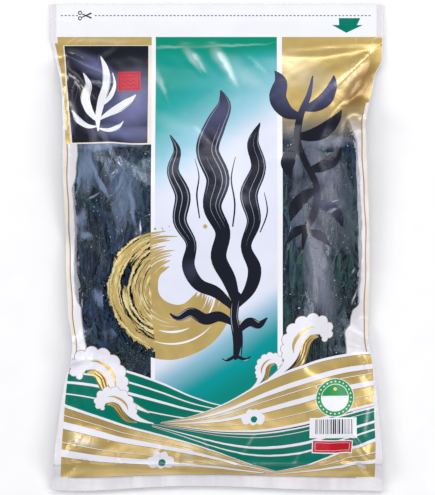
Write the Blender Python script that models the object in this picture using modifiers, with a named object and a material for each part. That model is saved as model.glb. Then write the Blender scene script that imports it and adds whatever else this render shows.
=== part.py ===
"""Shredded salted kombu in its sealed zip pouch, lying on its back.

Metres, +Z up. +X runs across the pouch and +Y runs from the bottom seal to the zip and the
header. The origin is under the middle of the pouch, on the surface it lies on.
"""

import math
import random

import bmesh
import bpy
import numpy as np

# Driving dimensions of the pouch
LENGTH = 0.350
SIDE_SEAL = 0.007
BOTTOM_SEAL = 0.009
TOP_SEAL_START = 0.342
FILM = 0.00025
FILM_GAP = 0.0003
CROWN = 0.0275

# Stations along the pouch: height above the bottom edge, then the value there
LEFT_HALF_WIDTH = [
    (0.000, 0.1185), (0.050, 0.1135), (0.088, 0.1075), (0.110, 0.1045), (0.145, 0.1073),
    (0.190, 0.1087), (0.230, 0.1109), (0.270, 0.1103), (0.300, 0.1130), (0.318, 0.1180),
    (0.327, 0.1198), (0.336, 0.1200), (0.350, 0.1200),
]
RIGHT_HALF_WIDTH = [
    (0.000, 0.1195), (0.050, 0.1165), (0.088, 0.1125), (0.110, 0.1090), (0.145, 0.1100),
    (0.190, 0.1094), (0.230, 0.1080), (0.265, 0.1065), (0.300, 0.1137), (0.318, 0.1180),
    (0.327, 0.1198), (0.336, 0.1200), (0.350, 0.1200),
]
SEAM_HEIGHT = [
    (0.000, 0.0040), (0.045, 0.0105), (0.100, 0.0150), (0.190, 0.0150), (0.250, 0.0105),
    (0.290, 0.0045), (0.316, 0.0018), (0.350, 0.0018),
]
FILL = [
    (0.009, 0.00), (0.025, 0.38), (0.045, 0.64), (0.080, 0.87), (0.120, 0.97),
    (0.170, 1.00), (0.210, 0.97), (0.240, 0.84), (0.267, 0.56), (0.292, 0.22), (0.316, 0.00),
]

# Grid of the two films
COLUMNS = 18
FILL_ROWS = 17
ZIP_ROWS = [0.3185, 0.3215, 0.3290, 0.3365, 0.3395, TOP_SEAL_START, LENGTH]

# Zip profile, in its own plane: across the rail, then up from the lower tape
ZIP_CENTRE = 0.329
ZIP_ROOM = 0.0027
ZIP_REACH = 0.975
TAPE_HALF = 0.0065
TAPE = 0.0003
RIDGE_OUTER = 0.0017
RIDGE_INNER = 0.0011
RIDGE_TOP = 0.0015
HOOK_INNER = 0.00075
HOOK_UNDER = 0.0012
HEAD_HALF = 0.00075
HEAD_TOP = 0.0009
HEAD_UNDER = 0.0006
STEM_HALF = 0.0004
UPPER_TAPE = 0.0018

# Kombu: hanks of matted shreds, in lanes that run the pouch's length
LAYERS = 3
LANES = 7
CONTENT_BOTTOM = 0.024
CONTENT_TOP = 0.268
CONTENT_REACH = 0.93
FILM_CLEARANCE = 0.0012
HANK_GAP = 0.0006
HANK_SIDES = 8
HANK_RINGS = 10
SEED = 12


def clear_scene():
    for obj in list(bpy.data.objects):
        bpy.data.objects.remove(obj, do_unlink=True)


def material(name, colour, roughness, alpha=1.0):
    made = bpy.data.materials.new(name)
    made.use_nodes = True
    shader = made.node_tree.nodes["Principled BSDF"]
    shader.inputs["Base Color"].default_value = (*colour, 1.0)
    shader.inputs["Roughness"].default_value = roughness
    shader.inputs["Metallic"].default_value = 0.0
    shader.inputs["Alpha"].default_value = alpha
    return made


def through(stations, place):
    """Value at a place on the smooth curve through the stations."""
    places, values = np.array(stations).T
    slopes = np.gradient(values, places)
    k = int(np.clip(np.searchsorted(places, place) - 1, 0, len(places) - 2))
    gap = places[k + 1] - places[k]
    t = min(max((place - places[k]) / gap, 0.0), 1.0)
    return (
        (1 + 2 * t) * (1 - t) ** 2 * values[k]
        + t * (1 - t) ** 2 * gap * slopes[k]
        + t * t * (3 - 2 * t) * values[k + 1]
        + t * t * (t - 1) * gap * slopes[k + 1]
    )


def half_width(side, v):
    return through(RIGHT_HALF_WIDTH if side > 0 else LEFT_HALF_WIDTH, v)


def inner_x(s, v):
    """X of a place between the side seals, where s runs from -1 to 1."""
    return s * (half_width(s, v) - SIDE_SEAL)


def zip_room(s, v):
    """Half the space that the zip holds open between the films."""
    reach = abs(v - ZIP_CENTRE) - TAPE_HALF - 0.001
    open_here = min(max(1.0 - reach / 0.002, 0.0), 1.0)
    return ZIP_ROOM / 2 * open_here if abs(s) < 0.999 else 0.0


def front_inner(s, v):
    """Height of the front film's inner face."""
    crown = max(1.0 - abs(s) ** 2.8, 0.0) ** 0.65
    filled = CROWN * max(through(FILL, v), 0.0) * crown if v < FILL[-1][0] else 0.0
    return through(SEAM_HEIGHT, v) + max(FILM_GAP / 2 + filled, zip_room(s, v))


def back_inner(s, v):
    """Height of the back film's inner face, which lies flat under the contents."""
    seam = through(SEAM_HEIGHT, v)
    belly = max(1.0 - abs(s) ** 4, 0.0) ** 0.6
    depth = 1.25 * seam * min(max(through(FILL, v), 0.0) * 2.2, 1.0) if v < FILL[-1][0] else 0.0
    drop = max(FILM_GAP / 2 + depth * belly, zip_room(s, v))
    return max(seam - drop, FILM)


def film(name, height, outward, finish):
    """One film of the pouch: a sheet moved to its heights, then given its thickness."""
    rows = [0.0, BOTTOM_SEAL]
    rows += list(np.linspace(BOTTOM_SEAL, 0.316, FILL_ROWS + 1)[1:])
    rows += ZIP_ROWS
    columns = [math.sin(math.pi / 2 * a) for a in np.linspace(-1, 1, COLUMNS - 1)]
    bpy.ops.mesh.primitive_grid_add(x_subdivisions=COLUMNS, y_subdivisions=len(rows) - 1, size=2)
    sheet = bpy.context.object
    sheet.name = sheet.data.name = name
    for vertex in sheet.data.vertices:
        column = round((vertex.co.x + 1) / 2 * COLUMNS)
        v = rows[round((vertex.co.y + 1) / 2 * (len(rows) - 1))]
        if column in (0, COLUMNS):
            s = -1.0 if column == 0 else 1.0
            x = s * half_width(s, v)
        else:
            s = columns[column - 1]
            x = inner_x(s, v)
        inside = BOTTOM_SEAL < v < TOP_SEAL_START and abs(s) < 0.999
        vertex.co = (x, v - LENGTH / 2, height(s if inside else 1.0, v))
    solidify = sheet.modifiers.new("film thickness", "SOLIDIFY")
    solidify.thickness = FILM
    solidify.offset = outward
    sheet.data.materials.append(finish)
    sheet.data.shade_smooth()
    return sheet


def zip_rail(name, outline, finish):
    """A zip half: its profile run across the pouch, between the side seals."""
    curve = bpy.data.curves.new(name, "CURVE")
    curve.dimensions = "2D"
    curve.fill_mode = "BOTH"
    curve.extrude = ZIP_REACH * (half_width(1, ZIP_CENTRE) - SIDE_SEAL)
    spline = curve.splines.new("POLY")
    spline.points.add(len(outline) - 1)
    for point, (across, up) in zip(spline.points, outline):
        point.co = (across, up, 0.0, 1.0)
    spline.use_cyclic_u = True
    rail = bpy.data.objects.new(name, curve)
    lower_tape = through(SEAM_HEIGHT, ZIP_CENTRE) - ZIP_ROOM / 2 + FILM_GAP
    rail.location = (0.0, ZIP_CENTRE - LENGTH / 2, lower_tape)
    rail.rotation_euler = (math.pi / 2, 0.0, math.pi / 2)
    curve.materials.append(finish)
    bpy.context.scene.collection.objects.link(rail)
    return rail


def mirrored(half):
    """A closed outline from its right half, listed bottom to top."""
    return half + [(-across, up) for across, up in reversed(half)]


def groove_outline():
    right = [
        (TAPE_HALF, 0.0), (TAPE_HALF, TAPE), (RIDGE_OUTER, TAPE), (RIDGE_OUTER, RIDGE_TOP),
        (HOOK_INNER, RIDGE_TOP), (HOOK_INNER, HOOK_UNDER), (RIDGE_INNER, HOOK_UNDER),
        (RIDGE_INNER, TAPE),
    ]
    return mirrored(right)


def rib_outline():
    right = [
        (HEAD_HALF, HEAD_UNDER), (HEAD_HALF, HEAD_TOP), (STEM_HALF, HEAD_TOP),
        (STEM_HALF, UPPER_TAPE), (TAPE_HALF, UPPER_TAPE), (TAPE_HALF, UPPER_TAPE + TAPE),
    ]
    return mirrored(right)


def lane_edge(edge, layer, v):
    """Where a lane's edge runs across the pouch: the lanes weave a little along it."""
    even = CONTENT_REACH * (2 * edge / LANES - 1)
    if edge in (0, LANES):
        return even
    return even + 0.028 * math.sin(2 * math.pi * v / 0.150 + 1.9 * layer + 0.9 * edge)


def layer_edge(edge, s, v):
    """Where a layer's edge runs between the films, from 0 at the back to 1 at the front."""
    if edge in (0, LAYERS):
        return edge / LAYERS
    return edge / LAYERS + 0.035 * math.sin(7.0 * s + 40.0 * v + 2.2 * edge)


def kombu_hank(name, layer, lane, start, end, finish):
    """A hank of matted shreds: a long round-ended body that fills its stretch of a lane."""
    mesh = bpy.data.meshes.new(name)
    body = bmesh.new()
    bmesh.ops.create_uvsphere(body, u_segments=HANK_SIDES, v_segments=HANK_RINGS, radius=1.0)
    for vertex in body.verts:
        along = 1.0 - 2.0 * math.acos(min(max(vertex.co.z, -1.0), 1.0)) / math.pi
        girth = max(1.0 - abs(along) ** 3, 0.0) ** 0.5
        ring = math.hypot(vertex.co.x, vertex.co.y)
        turn = math.atan2(vertex.co.y, vertex.co.x) if ring > 1e-6 else 0.0
        girth = girth if ring > 1e-6 else 0.0
        across = girth * math.copysign(abs(math.cos(turn)) ** 0.8, math.cos(turn))
        up = girth * math.copysign(abs(math.sin(turn)) ** 0.8, math.sin(turn))
        v = start + (along + 1.0) / 2.0 * (end - start)
        left, right = (lane_edge(lane + k, layer, v) for k in (0, 1))
        gap = HANK_GAP / 0.100
        s = (left + right) / 2 + across * ((right - left) / 2 - gap / 2)
        bottom = back_inner(s, v) + FILM_CLEARANCE
        room = front_inner(s, v) - FILM_CLEARANCE - bottom
        low, high = (layer_edge(layer + k, s, v) for k in (0, 1))
        middle = bottom + room * (low + high) / 2
        z = middle + up * max(room * (high - low) / 2 - HANK_GAP / 2, 0.0003)
        vertex.co = (inner_x(s, v), v - LENGTH / 2, z)
    body.normal_update()
    bmesh.ops.recalc_face_normals(body, faces=body.faces)
    body.to_mesh(mesh)
    body.free()
    mesh.materials.append(finish)
    mesh.shade_smooth()
    hank = bpy.data.objects.new(name, mesh)
    bpy.context.scene.collection.objects.link(hank)
    return hank


def kombu(finish):
    """All hanks, layer by layer from the back. Each lane holds two, split where chance puts it."""
    chance = random.Random(SEED)
    hanks = []
    for layer in range(LAYERS):
        for lane in range(LANES):
            edge_lane = abs(2 * lane - LANES + 1) / (LANES - 1)
            start = CONTENT_BOTTOM + 0.016 * edge_lane ** 2 + chance.uniform(0.0, 0.006)
            end = CONTENT_TOP - 0.022 * edge_lane ** 2 - chance.uniform(0.0, 0.012)
            split = (start + end) / 2 + chance.uniform(-0.028, 0.028)
            for low, high in ((start, split - HANK_GAP), (split + HANK_GAP, end)):
                name = f"kombu_hank_{len(hanks) + 1:02d}"
                hanks.append(kombu_hank(name, layer, lane, low, high, finish))
    return hanks


def gather(parts):
    """Moves the parts into the pouch's own collection."""
    pouch = bpy.data.collections.new("salted_kombu_pouch")
    bpy.context.scene.collection.children.link(pouch)
    for part in parts:
        for collection in list(part.users_collection):
            collection.objects.unlink(part)
        pouch.objects.link(part)


def main():
    clear_scene()
    clear_film = material("printed film", (0.72, 0.66, 0.48), 0.25, 0.6)
    back_clear = material("clear film", (0.85, 0.86, 0.86), 0.2, 0.5)
    zip_plastic = material("zip plastic", (0.80, 0.82, 0.82), 0.35, 0.8)
    seaweed = material("kombu", (0.020, 0.045, 0.030), 0.45)
    parts = [
        film("front_film", front_inner, 1.0, clear_film),
        film("back_film", back_inner, -1.0, back_clear),
        zip_rail("zip_groove_rail", groove_outline(), zip_plastic),
        zip_rail("zip_rib_rail", rib_outline(), zip_plastic),
    ]
    gather(parts + kombu(seaweed))


main()
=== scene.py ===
"""Salted kombu in its printed zip pouch: the looks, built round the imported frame."""

import math
from functools import lru_cache

import bmesh
import bpy
import numpy as np
from bpy.props import FloatProperty, FloatVectorProperty, IntProperty, PointerProperty
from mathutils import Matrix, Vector, kdtree
from mathutils.geometry import delaunay_2d_cdt


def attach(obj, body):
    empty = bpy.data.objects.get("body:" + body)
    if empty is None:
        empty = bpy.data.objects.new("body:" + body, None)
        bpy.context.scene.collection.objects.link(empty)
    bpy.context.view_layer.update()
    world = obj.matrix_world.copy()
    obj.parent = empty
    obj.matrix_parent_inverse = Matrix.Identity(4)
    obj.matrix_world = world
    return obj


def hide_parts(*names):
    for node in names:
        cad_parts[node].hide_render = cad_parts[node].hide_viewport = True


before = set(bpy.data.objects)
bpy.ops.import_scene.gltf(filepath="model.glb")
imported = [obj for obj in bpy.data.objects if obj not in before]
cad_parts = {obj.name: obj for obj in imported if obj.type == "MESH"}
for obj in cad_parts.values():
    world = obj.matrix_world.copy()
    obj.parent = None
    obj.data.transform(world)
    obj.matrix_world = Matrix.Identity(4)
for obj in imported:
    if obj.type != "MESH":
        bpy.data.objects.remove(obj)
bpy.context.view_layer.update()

bl_info = {
    "name": "Salted kombu pouch",
    "version": (1, 0, 0),
    "blender": (4, 5, 0),
    "location": "View3D > Sidebar > Kombu",
    "description": "Builds a printed zip pouch filled with shredded salted kombu",
    "category": "Add Mesh",
}

MM = 0.001

# The pouch, in millimetres, measured face on from the middle of its bottom edge.
WIDTH = 240.0
LENGTH = 350.0
FLAT_LENGTH = 358.0
SIDE_SEAL = 7.0
BOTTOM_SEAL = 9.0
HEADER_START = 326.6
ZIP_LOW, ZIP_HIGH = 321.5, 336.5
HEADER_HEIGHT = 1.5
ZIP_SWELL = 1.25

# Half widths of the filled pouch: height above the bottom edge, left, right.
OUTLINE = [
    (0, 119, 119.6), (15, 117.3, 119.3), (33, 115.6, 118.6), (50, 113.2, 116.8),
    (67, 110.9, 115.2), (84, 107.8, 113.7), (93, 104.6, 112.2), (102, 103.2, 110.2),
    (112, 104, 108.7), (127, 106.4, 109.3), (162, 108, 110.1), (196, 108.7, 109.4),
    (230, 110.4, 108), (250, 110.1, 107.2), (265, 110.1, 106.6), (282, 110.8, 110.4),
    (291, 111.6, 112.4), (300, 113, 114.2), (308, 115.6, 118.8), (317, 117, 119.5),
    (326, 119.3, 120), (350, 119.9, 119.9),
]


def distance(name, description, metres):
    """A length that a user may change."""
    return FloatProperty(name=name, description=description, default=metres, unit="LENGTH")


def number(name, description, count):
    """A whole number that a user may change."""
    return IntProperty(name=name, description=description, default=count)


class PouchSizes(bpy.types.PropertyGroup):
    """Sizes of the film and its cloth simulation."""

    film: distance("Film thickness", "Thickness of one laminate layer", 0.00012)
    fineness: distance("Film mesh step", "Distance between points of the printed film", 0.0019)
    columns: number("Cloth columns", "Columns of the cloth grid that is blown up", 88)
    rows: number("Cloth rows", "Rows of the cloth grid that is blown up", 132)
    frames: number("Cloth frames", "Frames that the filled pouch takes to settle", 60)


class KombuSizes(bpy.types.PropertyGroup):
    """Sizes and numbers of the shreds and the salt."""

    width: distance("Shred width", "Widest cut of the kombu shreds", 0.0034)
    length: distance("Shred length", "Longest shred", 0.060)
    thickness: distance("Shred thickness", "Thickness of one shred", 0.0005)
    front_count: number("Front shreds", "Shreds that lie against the front film", 2500)
    back_count: number("Back shreds", "Shreds that lie against the back film", 2200)
    salt_count: number("Salt grains", "Salt crystals on the shreds", 1500)
    salt_size: distance("Salt grain size", "Edge of the largest salt crystal", 0.0008)


def colour(name, description, value):
    """A colour that a user may change."""
    return FloatVectorProperty(
        name=name, description=description, default=value, size=3, subtype="COLOR", min=0, max=1
    )


class PouchColours(bpy.types.PropertyGroup):
    """Colours of the inks and of the kombu, in linear light."""

    gold: colour("Gold", "Gold ink", (0.63, 0.455, 0.15))
    green: colour("Green", "Green ink of the waves", (0.0, 0.178, 0.122))
    teal: colour("Teal", "Top of the middle stripe", (0.0, 0.27, 0.165))
    indigo: colour("Indigo", "Dark square and brush strokes", (0.005, 0.007, 0.015))
    red: colour("Red", "Seal mark and label", (0.56, 0.004, 0.018))
    white: colour("White", "White ink", (0.88, 0.89, 0.93))
    kombu: colour("Kombu", "Dried kelp", (0.004, 0.011, 0.017))


def half_widths(height):
    """Left and right half widths of the filled pouch at these heights, in millimetres."""
    stations, left, right = zip(*OUTLINE)
    return np.interp(height, stations, left), np.interp(height, stations, right)


def rounded(values, passes):
    """Smooths a grid along both ways, keeping the slope at its edges."""
    for _ in range(passes):
        for axis in (0, 1):
            room = [(0, 0)] * values.ndim
            room[axis] = (1, 1)
            wide = np.pad(values, room, mode="reflect", reflect_type="odd")
            before = np.take(wide, range(0, wide.shape[axis] - 2), axis)
            after = np.take(wide, range(2, wide.shape[axis]), axis)
            values = values / 2 + (before + after) / 4
    return values


# The cloth is simulated at ten times its size, where Blender's solver is steadier.
GROWN = 10.0
# Where the side seals buckle: side, height in millimetres, and height of the first push.
PINCHES = [(-1, 98, 0.05), (1, 112, 0.05), (-1, 300, 0.04), (1, 270, 0.04)]
# Where the pouch stops being filled, below the zip.
FILLED_TOP = 318
# How high the flat films start: along them, and up.
FIRST_HEIGHT = ([0, 60, 250, 322, 358], [5, 12, 12, 4, 3])
# The first bulge and the roughness of the flat film, in grown metres.
DOME, ROUGH = 0.05, 0.002


def flat_pouch(columns, rows):
    """The two films laid flat and joined at their seals, at the grown size."""
    grown = GROWN * MM
    across = np.linspace(-WIDTH / 2, WIDTH / 2, columns + 1) * grown
    along = np.linspace(0, FLAT_LENGTH, rows + 1) * grown
    across, along = np.meshgrid(across, along)
    seal = (WIDTH / 2 - SIDE_SEAL) * grown
    bottom = BOTTOM_SEAL * grown
    header = FILLED_TOP * FLAT_LENGTH / LENGTH * grown
    open_part = (abs(across) < seal - 1e-6) & (along > bottom + 1e-6) & (along < header - 1e-6)
    share = np.clip((along - bottom) / (header - bottom), 0, 1)
    dome = DOME * (1 - np.clip(abs(across) / seal, 0, 1) ** 2) * np.sin(np.pi * share) ** 0.5
    dome = dome * open_part
    base = np.interp(along / grown, *FIRST_HEIGHT) * grown
    rough = np.random.default_rng(3).normal(0, ROUGH, across.shape) * (along > 0.02 * GROWN)
    for side, height, push in PINCHES:
        place = height * FLAT_LENGTH / LENGTH * grown
        rough += (
            push
            * np.exp(-(((along - place) / (7 * grown)) ** 2))
            * np.exp(-(((across - side * WIDTH / 2 * grown) / (18 * grown)) ** 2))
        )
    top = np.stack([across, along, base + dome + rough], -1)
    under = np.stack([across, along, np.clip(base - dome - 0.01, 0.012, None)], -1)
    return top, under[open_part], open_part


def joined_faces(front, back):
    """Four-sided faces of both films, once where the films are one layer."""
    faces = []
    for row in range(front.shape[0] - 1):
        for column in range(front.shape[1] - 1):
            ring = [(row, column), (row, column + 1), (row + 1, column + 1), (row + 1, column)]
            upper = [int(front[place]) for place in ring]
            lower = [int(back[place]) for place in reversed(ring)]
            faces.append(upper)
            if set(upper) != set(lower):
                faces.append(lower)
    return faces


def weigh(obj, name, weights):
    """A vertex group with one weight for each point."""
    group = obj.vertex_groups.new(name=name)
    for weight in np.unique(weights):
        group.add(np.flatnonzero(weights == weight).tolist(), float(weight), "REPLACE")
    return name


# The laminate's settings in Blender's cloth, in the order in which they are set.
FILM_CLOTH = {
    "quality": 4, "mass": 0.03, "air_damping": 5,
    "tension_stiffness": 60, "compression_stiffness": 60, "shear_stiffness": 30,
    "bending_stiffness": 20, "bending_stiffness_max": 400, "bending_damping": 0.5,
    "tension_damping": 5, "compression_damping": 5, "shear_damping": 5,
    "use_pressure": True, "use_pressure_volume": True, "uniform_pressure_force": 1.25,
    "target_volume": 1.6, "pressure_factor": 1.0, "fluid_density": 0.5,
}
# Where the contents stop pressing, over which length they fade out, and the least that is left.
PRESS_TOP, PRESS_FADE, PRESS_LEAST = 292, 50, 0.06


def set_cloth(bag, points, open_points, frames):
    """Cloth that is filled like the pouch: pressed by its contents, welded flat at its seals."""
    grown = GROWN * MM
    cloth = bag.modifiers.new("filled", "CLOTH")
    film = cloth.settings
    for name, value in FILM_CLOTH.items():
        setattr(film, name, value)
    filled = np.clip((PRESS_TOP * grown - points[:, 1]) / (PRESS_FADE * grown), PRESS_LEAST, 1)
    filled = np.round(filled, 2) * open_points
    film.vertex_group_pressure = weigh(bag, "filled", filled)
    film.vertex_group_bending = weigh(bag, "welded", 1.0 - open_points)
    held = points[:, 1] <= BOTTOM_SEAL * grown * 0.7
    film.vertex_group_mass = weigh(bag, "held", held.astype(float))
    cloth.collision_settings.use_self_collision = False
    cloth.collision_settings.collision_quality = 3
    cloth.collision_settings.distance_min = 0.005
    cloth.point_cache.frame_start = 1
    cloth.point_cache.frame_end = frames


def simulated_pouch(columns, rows, frames):
    """Grids of the front and back film, in millimetres, blown up by cloth simulation."""
    top, under, open_part = flat_pouch(columns, rows)
    front = np.arange(open_part.size).reshape(open_part.shape)
    back = front.copy()
    back[open_part] = open_part.size + np.arange(len(under))
    points = np.concatenate([top.reshape(-1, 3), under])
    mesh = bpy.data.meshes.new("cloth_pouch")
    mesh.from_pydata(points.tolist(), [], joined_faces(front, back))
    bag = bpy.data.objects.new("cloth_pouch", mesh)
    scene = bpy.context.scene
    scene.collection.objects.link(bag)
    open_points = np.concatenate([open_part.ravel(), np.ones(len(under), bool)])
    set_cloth(bag, points, open_points, frames)
    bpy.ops.mesh.primitive_plane_add(size=10, location=(0, FLAT_LENGTH * MM * GROWN / 2, 0))
    table = bpy.context.object
    table.modifiers.new("table", "COLLISION")
    table.collision.thickness_outer = 0.01
    table.collision.cloth_friction = 5
    for number in range(1, frames + 1):
        scene.frame_set(number)
    settled = bag.evaluated_get(bpy.context.evaluated_depsgraph_get()).to_mesh()
    points = vertex_array(settled) / (GROWN * MM)
    bpy.data.objects.remove(bag, do_unlink=True)
    bpy.data.objects.remove(table, do_unlink=True)
    scene.frame_set(1)
    return points[front], points[back]


# How far the filled pouch pulls its bottom edge up: across from the middle, and how much.
EDGE_BOW = [
    (-120, 0.8), (-103, 0), (-92, 0.1), (-77, 0.8), (-60, 2), (-42, 3), (-25, 3.6),
    (0, 3.5), (18, 2.9), (36, 2.1), (52, 1.4), (70, 0.8), (90, 0.5), (112, 0.1), (120, 0),
]
# How much of the bow, the broad shape and its folds is kept: heights, then shares.
KEEP_BOW = ([0, 10, 70], [1, 0.5, 0])
KEEP_BROAD = ([0, 238, 262, 285, 305, 321], [1, 1, 0.86, 0.55, 0.22, 0])
KEEP_FOLDS = ([0, 312, 321], [1, 1, 0])
# The least height of the film over the table.
LEAST_UP = 0.3


def settled_grid(grid, bottom):
    """Puts a simulated film on the real outline and lays its header flat."""
    rows, columns = grid.shape[0] - 1, grid.shape[1] - 1
    across = np.linspace(-1, 1, columns + 1)[None, :]
    height = np.linspace(0, LENGTH, rows + 1)[:, None]
    left, right = half_widths(height)
    passes = max(4, columns * columns // 130)
    fine = grid - rounded(grid, passes)
    inner = 1 - across**4
    side = (right - left) / 2 + across * (right + left) / 2 + fine[..., 0] * inner
    along = height + fine[..., 1] * inner * np.clip((322 - height) / 10, 0, 1)
    bow = np.interp(side, *zip(*EDGE_BOW))
    along = along + bow * np.interp(height, *KEEP_BOW)
    smooth = rounded(grid[..., 2], 1)
    broad = rounded(smooth, passes)
    flat_header = HEADER_HEIGHT + bottom * header_swell(height)
    up = flat_header + (broad - flat_header) * np.interp(height, *KEEP_BROAD)
    up = np.maximum(up + (smooth - broad) * np.interp(height, *KEEP_FOLDS), LEAST_UP)
    return np.stack([side, along + 0 * side, up + 0 * side], -1)


def header_swell(height):
    """How far each film stands off the header's middle plane, over the zip."""
    return ZIP_SWELL * np.interp(height, [314, ZIP_LOW, ZIP_HIGH, 348], [0.4, 1, 1, 0.05])


@lru_cache(maxsize=None)
def pouch_shape():
    """Grids of the front and back film in the CAD frame, in metres."""
    sizes = bpy.context.scene.pouch_sizes
    columns, rows, frames = sizes.columns, sizes.rows, sizes.frames
    front, back = simulated_pouch(columns, rows, frames)
    lowest = back[..., 2].min() - 0.2
    front = settled_grid(front - [0, 0, lowest], 1)
    back = settled_grid(back - [0, 0, lowest], -1)
    front[..., 2] = np.maximum(front[..., 2], back[..., 2])
    middle = np.array([0, LENGTH / 2, 0])
    return (front - middle) * MM, (back - middle) * MM


def spline_weights(share):
    """The four weights of a smooth curve through points, between its middle two."""
    square, cube = share**2, share**3
    return [
        (-cube + 2 * square - share) / 2,
        (3 * cube - 5 * square + 2) / 2,
        (-3 * cube + 4 * square + share) / 2,
        (cube - square) / 2,
    ]


def on_grid(grid, places):
    """Smooth points of a film at flat places, in millimetres from its bottom middle."""
    rows, columns = grid.shape[0] - 1, grid.shape[1] - 1
    x = np.clip(places[:, 0] / WIDTH + 0.5, 0, 1) * columns
    y = np.clip(places[:, 1] / FLAT_LENGTH, 0, 1) * rows
    column = np.minimum(x.astype(int), columns - 1)
    row = np.minimum(y.astype(int), rows - 1)
    total = 0
    for step_y, weight_y in enumerate(spline_weights(y - row), -1):
        for step_x, weight_x in enumerate(spline_weights(x - column), -1):
            near = grid[np.clip(row + step_y, 0, rows), np.clip(column + step_x, 0, columns)]
            total = total + near * (weight_y * weight_x)[:, None]
    return total


def grid_normals(grid, places):
    """Upward normals of a film at flat places."""
    reach = 1.2
    east = on_grid(grid, places + [reach, 0]) - on_grid(grid, places - [reach, 0])
    north = on_grid(grid, places + [0, reach]) - on_grid(grid, places - [0, reach])
    normal = np.cross(east, north)
    return normal / np.linalg.norm(normal, axis=1)[:, None]


def flat_places(face_on):
    """Where points seen face on lie on the flat film. Both are in millimetres."""
    face_on = np.asarray(face_on, float)
    left, right = half_widths(face_on[:, 1])
    side = (face_on[:, 0] - (right - left) / 2) / ((right + left) / 2) * WIDTH / 2
    return np.stack([side, face_on[:, 1] * FLAT_LENGTH / LENGTH], -1)


def new_object(name, points, faces):
    """A mesh object at the origin, linked to the scene."""
    mesh = bpy.data.meshes.new(name)
    mesh.from_pydata(points.tolist(), [], [[int(i) for i in face] for face in faces])
    obj = bpy.data.objects.new(name, mesh)
    bpy.context.scene.collection.objects.link(obj)
    return obj


# Creases pressed into the front film: x, y, half length, half width, turn in degrees, height.
FOLDS = [
    (-16, 311, 18, 6.4, -54, 0.9), (4.5, 307, 23, 7.4, -57, 1.05), (30, 306, 16, 5, -40, 0.4),
    (-37, 287, 15, 4, -72, 0.6), (-14, 262, 24, 6, -50, 0.6), (0, 320.4, 46, 2.6, 0, 0.5),
    (82, 317.5, 36, 3, 4, 0.8), (100, 304, 24, 5.5, 46, 1.5), (95, 284, 22, 5, 62, 0.9),
    (104, 266, 12, 3.6, 66, 1.2), (-98, 314, 13, 3.2, -24, 1.3), (-107, 304, 16, 3.2, -78, 1.4),
    (-108.5, 284, 15, 3, -100, 1.2), (-106.5, 262, 12, 2.8, -82, 1), (-78, 315, 10, 3, 30, 0.9),
    (-96, 291, 18, 4.4, -50, 1.3), (-103, 272, 14, 3.6, -72, 1), (-70, 232, 8, 2.6, -60, 0.7),
    (-72, 226, 8, 2.6, 48, 0.6), (-55, 186, 13, 3, 84, 0.8), (86, 203, 10, 3, 20, 0.7),
    (66, 176, 46, 5, -80, 0.8), (-98, 111, 16, 4, 32, 1.4), (-96, 94, 18, 3.8, 8, 1.1),
    (98, 117, 16, 4, -36, 1.4), (97, 101, 18, 3.8, -8, 1.1), (0, 19.8, 112, 2.4, 0, 0.9),
    (-104, 30, 16, 3.4, 58, 0.8), (104, 32, 16, 3.4, -56, 0.8), (-41, 29, 10, 3, 76, 0.8),
    (-28, 22, 8, 2.6, 82, 0.7), (-70, 24, 9, 2.8, 98, 0.6), (58, 24, 9, 2.8, 66, 0.7),
    (88, 22, 9, 2.8, 112, 0.8), (108, 52, 20, 3, 84, 0.8), (106, 86, 16, 3, 96, 0.9),
    (-108, 62, 20, 3, 98, 0.7), (24, 36, 16, 4, 62, 0.5), (-6, 30, 16, 4, 112, 0.5),
]


def fold_height(face_on):
    """How far the creases lift the film at places seen face on, in millimetres."""
    height = np.zeros(len(face_on))
    for x, y, half_length, half_width, turn, lift in FOLDS:
        angle = math.radians(turn)
        right, up = face_on[:, 0] - x, face_on[:, 1] - y
        ahead = (right * math.cos(angle) + up * math.sin(angle)) / half_length
        narrowed = half_width * (1.15 - 0.5 * ahead)
        aside = (up * math.cos(angle) - right * math.sin(angle)) / narrowed
        crest = np.clip(1 - abs(aside), 0, 1) ** 1.5
        height += lift * crest * np.clip(1 - ahead**2, 0, 1)
    return height


def film_shell(name, places, triangles, inks, grid, outward):
    """A closed thin film over flat triangles. outward is 1 for the front, -1 for the back."""
    thickness = bpy.context.scene.pouch_sizes.film
    middle = on_grid(grid, places)
    normal = grid_normals(grid, places) * outward
    lift = fold_height(middle[:, :2] / MM + [0, LENGTH / 2]) * (outward > 0)
    middle = middle + normal * lift[:, None] * MM
    gap = 0.1 * thickness
    points = np.concatenate([middle + normal * (gap + thickness), middle + normal * gap])
    a, b, c = (places[triangles[:, k]] for k in range(3))
    turned = np.cross(b - a, c - a) * outward < 0
    triangles[turned] = triangles[turned][:, ::-1]
    count = len(places)
    sides = np.concatenate([triangles[:, [0, 1]], triangles[:, [1, 2]], triangles[:, [2, 0]]])
    owners = np.tile(np.arange(len(triangles)), 3)
    _, first, times = np.unique(np.sort(sides, 1), axis=0, return_index=True, return_counts=True)
    rim = first[times == 1]
    rim_faces = np.concatenate([sides[rim][:, ::-1], sides[rim] + count], 1)
    faces = [*triangles, *(triangles[:, ::-1] + count), *rim_faces]
    obj = new_object(name, points, faces)
    mesh = obj.data
    slots = np.concatenate([inks, inks, inks[owners[rim]]]).astype(np.int32)
    mesh.polygons.foreach_set("material_index", slots)
    corners = np.empty(len(mesh.loops), np.int32)
    mesh.loops.foreach_get("vertex_index", corners)
    flat = places[corners % count] / [WIDTH, FLAT_LENGTH] + [0.5, 0]
    mesh.uv_layers.new(name="Flat").uv.foreach_set("vector", flat.astype(np.float32).ravel())
    crease = np.tile(np.clip(lift, 0, 1), 2).astype(np.float32)
    mesh.attributes.new("crease", "FLOAT", "POINT").data.foreach_set("value", crease)
    mesh.polygons.foreach_set("use_smooth", np.ones(len(mesh.polygons), bool))
    mesh.set_sharp_from_angle(angle=math.radians(60))
    return obj


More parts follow.
